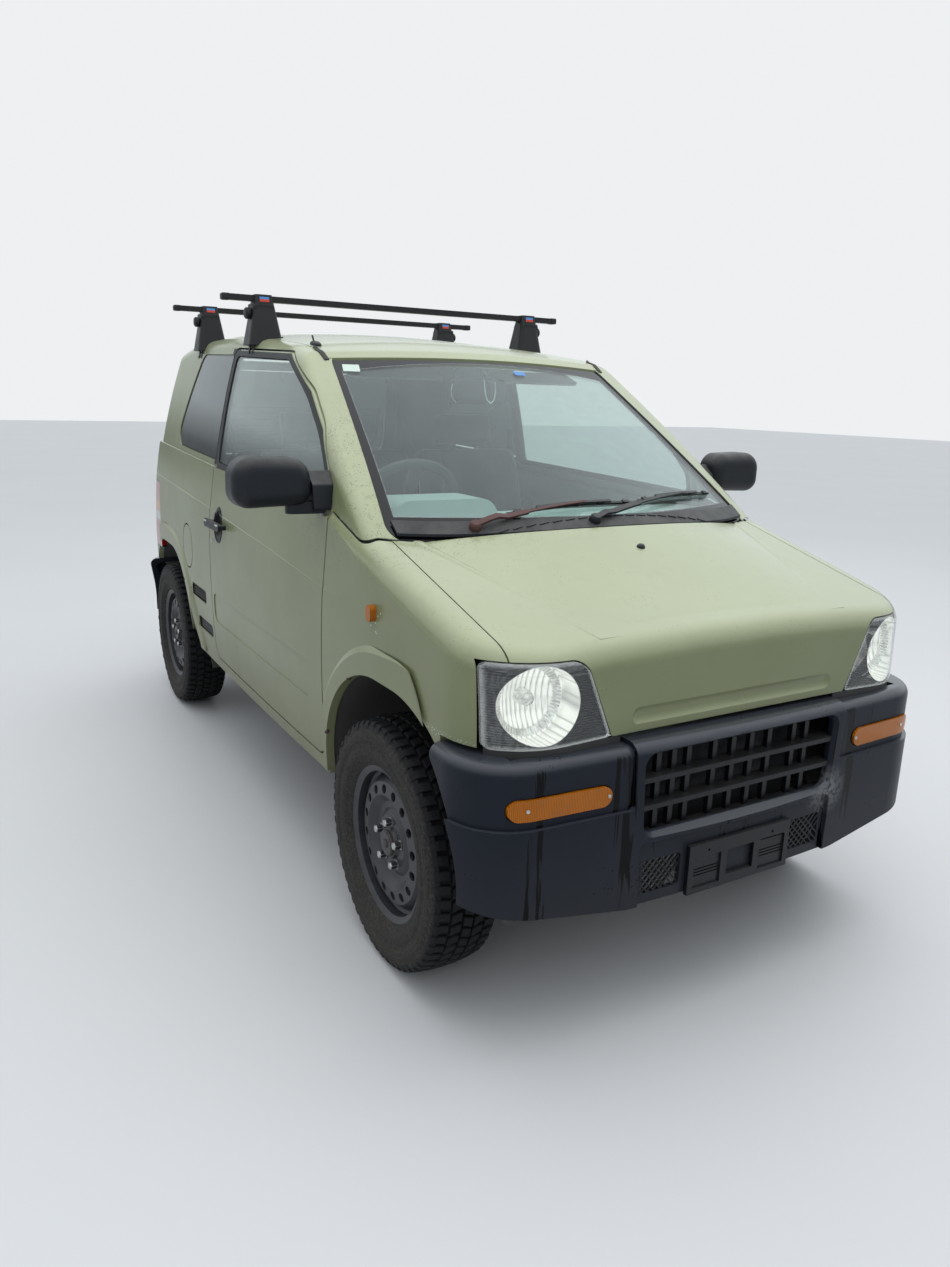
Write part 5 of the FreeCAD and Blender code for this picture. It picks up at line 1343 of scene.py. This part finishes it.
def build_small_fittings():
    """Aerial base, washer jet, the fittings of both sides and the signals' screws."""
    roof = tree_of("roof_panel", "body_side_right")
    dark = bmesh.new()
    add_boss(dark, roof, (-0.505, -0.2, 1.62), (0.014, 0.036), DOME, up=(0, 1, 0))
    place, _, top, out = on_surface(roof, (-0.505, -0.185, 1.62), (0, 1, 0))
    add_rod(dark, 0.0028, place + out * 0.008, place + out * 0.026 + top * 0.012)
    piece("aerial_base", dark, BLACK_TRIM, "body")
    dark = bmesh.new()
    add_boss(dark, tree_of("hood"), (-0.016, -1.275, 1.08), (0.011, 0.009), JET)
    piece("washer_jet", dark, BLACK_TRIM, "hood")
    for label, side in SIDES.items():
        build_door_fittings(label, side)
        build_side_fittings(label, side)
    signals = tree_of("amber_lamps", "front_bumper")
    screws = bmesh.new()
    for side in (-1, 1):
        for x in SIGNAL_SCREWS:
            add_boss(screws, signals, (side * x, -1.8, 0.607), (0.0045, 0.0045), BUTTON)
    piece("signal_screws", screws, BRIGHT, "body")


def build_door_fittings(label, side):
    """The lock barrel, the rim of the handle's cup and the bright ends on the handle."""
    door = tree_of("door_" + label)
    bm = bmesh.new()
    lock = (side * LOCK_SPOT[0], *LOCK_SPOT[1:])
    add_boss(bm, door, lock, (0.011, 0.011), BUTTON)
    add_boss(bm, door, lock, (0.006, 0.006), KEYHOLE)
    piece("door_lock_" + label, bm, BRIGHT, "door_" + label)
    bm = bmesh.new()
    oval = []
    for i in range(40):
        angle = math.tau * i / 40
        y = HANDLE_CUP[0] + HANDLE_CUP_HALF[0] * math.cos(angle)
        oval.append((0.8 * side, y, HANDLE_CUP[1] + HANDLE_CUP_HALF[1] * math.sin(angle)))
    path, out = drape(door, oval)
    add_sweep(bm, path, CUP_SECTION, out, closed=True)
    piece("handle_cup_" + label, bm, BLACK_TRIM, "door_" + label)
    bm = bmesh.new()
    handle = tree_of("mirror_" + label)
    for y in (0.19, 0.345):
        add_boss(bm, handle, (0.8 * side, y, HANDLE_CUP[1] + 0.008), (0.02, 0.004), [(1, 0), (0.9, 0.0012)])
    piece("handle_glint_" + label, bm, BRIGHT, "door_" + label)


def build_side_fittings(label, side):
    """Slats in the side vents, the moulding at the windscreen's top corner and the mirror's glass."""
    bm = bmesh.new()
    for rear, front, low, high, reach in SIDE_VENTS:
        deep, face = side * 0.7005, side * (reach - 0.003)
        start, end = rear + 0.008, front - 0.008
        for k in range(SLATS):
            z = low + (high - low) * (0.2 + 0.2 * k)
            shape = [(deep, start, z), (deep, end, z), (face, end, z - 0.004), (face, start, z - 0.004)]
            add_plate(bm, shape, (0, 0, 0.0022))
    piece("side_vent_slats_" + label, bm, BLACK_TRIM, "body")
    edge = tree_of("roof_panel", "body_side_" + label)
    seam, out = drape(edge, line((0.53 * side, -0.375, 1.58), (0.532 * side, -0.26, 1.61), 10))
    bm = bmesh.new()
    add_sweep(bm, seam, SEAM_SECTION, out)
    piece("roof_moulding_" + label, bm, RUBBER, "body")
    bm = bmesh.new()
    head = tree_of("mirror_" + label)
    add_badge(bm, head, (0.83 * side, -0.66, 1.203), rectangle(0.092, 0.05, 0.03), 0.0005, 0.002)
    piece("mirror_glass_" + label, bm, CHROME, "door_" + label)


def build_plate_holder():
    """Fine ribs at both sides of the plate holder."""
    bm = bmesh.new()
    holder = tree_of("grille")
    for side in (-1, 1):
        for k in range(9):
            spot = (side * 0.107, -1.8, 0.333 + 0.008 * k)
            add_badge(bm, holder, spot, rectangle(0.04, 0.0014, 0.001), -0.004, 0.0)
    piece("plate_holder_ribs", bm, BLACK_TRIM, "body")


def build_cowl_louvres():
    """Raised slats on the cowl below the windscreen."""
    cowl = tree_of("cowl_panel")
    bm = bmesh.new()
    for k in range(26):
        x = -0.5 + 0.04 * k
        hit = cowl.ray_cast(Vector((x, -1.125 + 0.12 * x * x, 1.5)), Vector((0, 0, -1)))[0]
        if hit:
            add_badge(bm, cowl, hit, rectangle(0.0145, 0.0022, 0.001), 0.0, 0.0025, up=(0, -1, 0.3))
    piece("cowl_louvres", bm, BLACK_TRIM, "body")


def build_arch_screws():
    """The screws that hold the liners to the arch lips."""
    profile = [(-0.001, 0.007), (0.0025, 0.007), (0.0045, 0.0045), (0.0045, 0)]
    for label, side in SIDES.items():
        bm = bmesh.new()
        for node, middle in (("fenders", FRONT_AXLE_Y), ("body_side_" + label, REAR_AXLE_Y)):
            panel = tree_of(node)
            for degrees in (28, 64, 100, 136):
                angle = math.radians(degrees)
                spoke = Vector((0, math.cos(angle), math.sin(angle)))
                hit = panel.ray_cast(Vector((side * 0.715, middle, TYRE_R)), spoke)[0]
                if hit:
                    add_lathe(bm, profile, hit, -spoke, 14)
        piece("arch_screws_" + label, bm, RIM_RUST, "body")


BELT_HALF = 0.0235


def build_belts_and_visors():
    """Seat belts on the pillars behind the doors, and sun visors over the windscreen."""
    for label, side in SIDES.items():
        bm = bmesh.new()
        corners = [(0.612, 0.4, 1.3), (0.612, 0.4, 1.1), (0.62, 0.4, 0.8), (0.62, 0.39, 0.55)]
        path = even([(side * x, y, z) for x, y, z in corners], 0.03, closed=False)
        add_sweep(bm, path, box_section(BELT_HALF, -0.0008, 0.0008), [(side, 0, 0.01)] * len(path))
        piece("belt_" + label, bm, BELT, "body")
        bm = bmesh.new()
        shape = rectangle(0.17, 0.055, 0.03)
        place, down = Vector((side * 0.27, -0.29, 1.508)), Vector((0, -0.94, -0.34)).normalized()
        add_plate(bm, [place + Vector((u, 0, 0)) + down * v for u, v in shape], (0, 0.012, -0.008))
        piece("sun_visor_" + label, bm, GREY_TRIM, "body", bevel=0.004)


def build_tail():
    """Tailgate grip, plate lamp, stop lamp and the bumper's reflectors."""
    gate, bumper = tree_of("tailgate"), tree_of("rear_bumper")
    for name, spot, half, high, finish, body, node in (
        ("tailgate_grip", (0, 1.8, 0.962), (0.2, 0.017), 0.018, BLACK_TRIM, "tailgate", gate),
        ("plate_lamp", (0, 1.8, 0.925), (0.05, 0.007), 0.008, CLEAR, "tailgate", gate),
        ("high_stop_lamp", (0, 1.7, 1.551), (0.11, 0.0085), 0.008, RED, "tailgate", gate),
        ("reflector_right", (-0.56, 1.8, 0.44), (0.05, 0.016), 0.005, RED, "body", bumper),
        ("reflector_left", (0.56, 1.8, 0.44), (0.05, 0.016), 0.005, RED, "body", bumper),
    ):
        bm = bmesh.new()
        spot = node.ray_cast(Vector(spot), Vector((0, -1, 0)))[0] or spot
        add_badge(bm, node, spot, rectangle(*half, min(half) * 0.8), -0.002, high)
        piece(name, bm, finish, body, bevel=0.002)


AHEAD_Y = -1.9
TEETH = 60
TEETH_R = (0.081, 0.068)
TOOTH_HALF_TURN = 0.035
# A tooth stands on the bowl's rim only, not on its bottom further back than this
BOWL_BACK_Y = -1.6
BULB_CAP = [(0, 0.02), (0.012, 0.0185), (0.03, 0.016), (0.036, 0.012), (0.0385, 0)]
GASKET_SECTION = [(-0.0028, -0.003), (0.0012, -0.003), (0.0016, 0.0012), (-0.002, 0.0018)]
# The rubber under each lamp: its inner end, the lamp's inner corner, and the step from point to point
FILLER_X, LAMP_INNER_X, FILLER_STEP = 0.345, 0.386, 0.0204


def seen_from_ahead(tree, x, z):
    """Where a ray from in front of the car meets a surface."""
    return tree.ray_cast(Vector((x, AHEAD_Y, z)), Vector((0, 1, 0)))[0]


def build_lamp_teeth(label, side, housing):
    half, (outer, inner) = TOOTH_HALF_TURN, TEETH_R
    corners = [(-half, outer), (half, outer), (half, inner), (-half, inner)]
    bm = bmesh.new()
    for i in range(TEETH):
        spots = []
        for turn, radius in corners:
            angle = math.tau * i / TEETH + turn
            x = side * BOWL[0] + radius * math.cos(angle)
            hit = seen_from_ahead(housing, x, BOWL[1] + radius * math.sin(angle))
            if hit and hit.y > BOWL_BACK_Y:
                spots.append(hit + Vector((0, -0.0005, 0)))
        if len(spots) == 4:
            add_plate(bm, spots, (0, -0.006, 0))
    piece("lamp_teeth_" + label, bm, MIRROR_BOWL, "body")


def build_headlamp_fittings():
    """The ring of teeth in each reflector, the bulb's cap and the rubber below and round the cover."""
    housing, lenses = tree_of("headlamps"), tree_of("headlamp_lenses")
    for label, side in SIDES.items():
        build_lamp_teeth(label, side, housing)
        cap = bmesh.new()
        hit = seen_from_ahead(housing, side * BOWL[0], BOWL[1])
        add_lathe(cap, BULB_CAP, hit or (side * BOWL[0], -1.54, BOWL[1]), (0, -1, 0), 28)
        piece("lamp_bulb_cap_" + label, cap, MIRROR_BOWL, "body")
        filler, spots = bmesh.new(), []
        for k in range(16):
            x = FILLER_X + FILLER_STEP * k
            hit = seen_from_ahead(lenses, side * max(x, LAMP_INNER_X), 0.736)
            if hit:
                spots.append(Vector((side * x, hit.y + 0.009, 0.712)))
        add_sweep(filler, spots, box_section(0.003, -0.02, 0.012))
        piece("lamp_filler_" + label, filler, RUBBER, "body")
        near = (side * 0.56, -1.7, 0.8)
        trim_loop("lamp_gasket_" + label, "headlamp_lenses", near, GASKET_SECTION, RUBBER, "body", 0.006, 50)


# Cabin


PAD_ROWS = 46
# Where the side roll is, as a share of the half width, and how wide; depth and width of seams and channels
ROLL_AT, ROLL_WIDE = 0.84, 0.12
SEAM_DEEP, SEAM_WIDE = 0.009, 0.006
CHANNEL_DEEP, CHANNEL_WIDE = 0.007, 0.007


def hump(distance, wide):
    """A soft hump or groove across a line: 1 on it, and near 0 a few widths away."""
    return math.exp(-((distance / wide) ** 2))


def add_pad(bm, place, half, corner, crown, roll, seams, channels):
    """A stuffed pad along its own Y: crowned above, with side rolls, seams along it and channels across it."""
    wide, length, thick = half
    corners = [(u * wide, v * thick, corner) for u, v in ((-1, -1), (1, -1), (1, 1), (-1, 1))]
    section = even(rounded(corners, 8), 0.0105)
    rings = []
    for i in range(PAD_ROWS + 1):
        t = math.sin(math.pi * (i / PAD_ROWS - 0.5))
        end = max(1 - abs(t) ** 8, 1e-3) ** 0.36
        ring = []
        for u, w in section:
            share = abs(u) / wide
            x = u * (0.88 + 0.12 * end - 0.012 * (1 - t * t) * share)
            top = w * end
            if w > 0:
                rise = crown * (1 - share * share) * (1 - t * t)
                rise += roll * hump(share - ROLL_AT, ROLL_WIDE) * (1 - abs(t) ** 5)
                for seam in seams:
                    rise -= SEAM_DEEP * hump((share - seam) * wide, SEAM_WIDE)
                if share < min(seams, default=1):
                    for channel in channels:
                        rise -= CHANNEL_DEEP * hump((t - channel) * length, CHANNEL_WIDE)
                top += rise * end * (w / thick)
            ring.append(bm.verts.new(place @ Vector((x, t * length, top))))
        rings.append(ring)
    add_ring_faces(bm, rings)
    bm.faces.new(rings[0][::-1])
    bm.faces.new(rings[-1])


def lean(centre, rise, run):
    """The place of a pad whose length points by a run along the car and a rise."""
    along = Vector((0, run, rise)).normalized()
    across = Vector((1, 0, 0))
    turn = Matrix((across, along, across.cross(along))).transposed().to_4x4()
    return Matrix.Translation(centre) @ turn


# Pads: name, centre (y, z), rise and run of its length, half sizes, then corner, crown, side roll, seams
# and channels, and the stuffing
SEAT_X = 0.33
SEAT_PADS = [
    ("cushion", (-0.085, 0.702), -0.058, 1, (0.23, 0.243, 0.056),
     (0.04, 0.014, 0.02, (0.62,), (-0.5, 0.1)), 0.8),
    ("back", (0.212, 0.962), 0.531, 0.16, (0.224, 0.272, 0.046),
     (0.036, 0.012, 0.026, (0.62,), (-0.35, 0.25)), 0.75),
    ("headrest", (0.319, 1.302), 0.975, 0.22, (0.124, 0.06, 0.038), (0.03, 0.01, 0.0, (), ()), 0.8),
]
REAR_PADS = [
    ("cushion", (0.762, 0.716), -0.03, 1, (0.432, 0.19, 0.058), (0.045, 0.014, 0.006, (0.5,), (0.0,)), 0.7),
    ("back", (1.008, 0.955), 0.455, 0.11, (0.43, 0.226, 0.038), (0.034, 0.012, 0.004, (0.5,), (0.1,)), 0.7),
]


def build_pad(name, x, row):
    part, centre, rise, run, half, form, fill = row
    bm = bmesh.new()
    add_pad(bm, lean((x, *centre), rise, run), half, *form)
    pad = piece(name + "_" + part, bm, CLOTH, "body", 60)
    return pad


def build_seats():
    """Two front seats and the rear bench, with their frames."""
    leg = [(-0.26, 0.44), (0.1, 0.44), (0.13, 0.655), (-0.2, 0.655)]
    for label, side in SIDES.items():
        x = side * SEAT_X
        for row in SEAT_PADS:
            build_pad("seat_" + label, x, row)
        bm = bmesh.new()
        for shift in (-0.185, 0.185):
            add_plate(bm, [(x + shift, y, z) for y, z in leg], (0.008, 0, 0))
            rail = line((x + shift, -0.3, 0.446), (x + shift, 0.16, 0.446), 2)
            add_sweep(bm, rail, box_section(0.02, -0.006, 0.012))
        for y in (-0.18, 0.08):
            add_rod(bm, 0.012, (x - 0.185, y, 0.6), (x + 0.185, y, 0.6))
        for shift in (-0.05, 0.05):
            add_rod(bm, 0.006, (x + shift, 0.285, 1.2), (x + shift, 0.31, 1.275))
        piece("seat_frame_" + label, bm, CHASSIS, "body", bevel=0.001)
    for row in REAR_PADS:
        pad = build_pad("rear_seat", 0, row)
    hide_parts("seats")


# The handwheel's hub, and the column's way down and away from it
HANDWHEEL_HUB = Vector((-0.335, -0.492, 1.085))
COLUMN_WAY = Vector((0, -0.848, -0.53))
COLUMN_TOP = Vector((0, -0.53, 0.848))
KNOB = [(1, 0.004), (1, 0.02), (0.9, 0.023)]
DIAL = [(1, 0.003), (0.98, 0.0052), (0.94, 0.0052), (0.93, 0.0045)]


def build_dashboard_fittings():
    """Instrument glass, centre panel, knobs, vents, column cover and stalks."""
    board = tree_of("dashboard")
    dark, pale = bmesh.new(), bmesh.new()
    add_badge(dark, board, (-0.34, -0.55, 1.1), rectangle(0.13, 0.03, 0.02), 0.0, 0.004)
    add_badge(dark, board, (0, -0.5, 0.93), rectangle(0.115, 0.085, 0.015), 0.0, 0.006)
    for x in (-0.555, 0.555):
        add_badge(dark, board, (x, -0.5, 1.0), rectangle(0.045, 0.026, 0.012), 0.0, 0.005)
    for x in (-0.055, 0.055):
        add_badge(dark, board, (x, -0.5, 1.0), rectangle(0.042, 0.02, 0.008), 0.004, 0.009)
    for x in (-0.07, 0, 0.07):
        add_boss(pale, board, (x, -0.5, 0.87), (0.017, 0.017), KNOB)
    for x in (-0.4, -0.28):
        add_boss(pale, board, (x, -0.5, 1.1), (0.026, 0.026), DIAL)
    piece("dash_panels", dark, DARK_TRIM, "body", bevel=0.001)
    piece("dash_knobs", pale, GREY_TRIM, "body")
    bm = bmesh.new()
    path = [HANDWHEEL_HUB + COLUMN_WAY * reach for reach in (0.062, 0.085, 0.15, 0.2)]
    add_sweep(bm, path, rectangle(0.05, 0.042, 0.02), [COLUMN_TOP] * len(path))
    for way in (-1, 1):
        root = HANDWHEEL_HUB + COLUMN_WAY * 0.085 + Vector((way * 0.045, 0, 0))
        grip = root + Vector((way * 0.1, 0.02, 0.012))
        add_rod(bm, 0.006, root, grip)
        add_rod(bm, 0.009, grip, root + Vector((way * 0.14, 0.028, 0.017)))
    piece("column_cover", bm, DARK_TRIM, "body", bevel=0.002)


def build_cabin_mirror():
    """The inside mirror on its stalk, with a bright-edged unit clipped to it."""
    spot = Vector((-0.045, -0.452, 1.452))
    turn = Matrix.Rotation(math.radians(-14), 3, "Z")
    bm = bmesh.new()
    cases = [(-0.03, (0.064, 0.04), -0.014, 0.012), (0.062, (0.034, 0.039), -0.016, 0.01)]
    for middle, half, low, high in cases:
        for share, near, far in ((1, low + 0.008, high), (0.86, low, low + 0.009)):
            shape = rectangle(half[0] * share, half[1] * share, 0.026)
            shape = [spot + turn @ Vector((middle + u, near, v)) for u, v in shape]
            add_plate(bm, shape, turn @ Vector((0, far - near, 0)))
    add_rod(bm, 0.007, spot, spot + Vector((0.02, 0.0, 0.045)), (0.0, -0.412, 1.512))
    piece("cabin_mirror", bm, BLACK_TRIM, "body", bevel=0.002)
    bm = bmesh.new()
    unit = [(0.012, 0.036), (0.017, 0.0), (0.024, -0.026), (0.037, -0.036)]
    unit += [(0.048, -0.026), (0.052, 0.0), (0.05, 0.03)]
    glass = [(-0.09, 0.02), (-0.094, 0), (-0.09, -0.022), (-0.078, -0.036)]
    for shape, y, radius in ((unit, -0.018, 0.0032), (glass, -0.01, 0.002)):
        path = [spot + turn @ Vector((u, y, v)) for u, v in shape]
        add_sweep(bm, path, round_section(radius, 8), [turn @ Vector((0, -1, 0))] * len(path))
    piece("cabin_mirror_rim", bm, CHROME, "body")


def build_door_trim():
    """An armrest on each door's inside."""
    for label, side in SIDES.items():
        bm = bmesh.new()
        path = line((side * 0.628, -0.42, 0.82), (side * 0.628, 0.16, 0.83), 6)
        add_sweep(bm, path, rectangle(0.026, 0.024, 0.014))
        piece("armrest_" + label, bm, DARK_TRIM, "door_" + label, bevel=0.003)


def build_scene():
    set_stage()
    set_lamps()
    set_camera()
    dress_nodes()
    build_wheels()
    build_glass_seals()
    build_screen_moulding()
    build_gap_seals_and_shade()
    build_wipers()
    build_screen_stickers()
    build_rack_fittings()
    build_small_fittings()
    build_plate_holder()
    build_cowl_louvres()
    build_arch_screws()
    build_belts_and_visors()
    build_tail()
    build_headlamp_fittings()
    build_seats()
    build_dashboard_fittings()
    build_cabin_mirror()
    build_door_trim()


build_scene()

bpy.context.scene.view_settings.view_transform = "Standard"
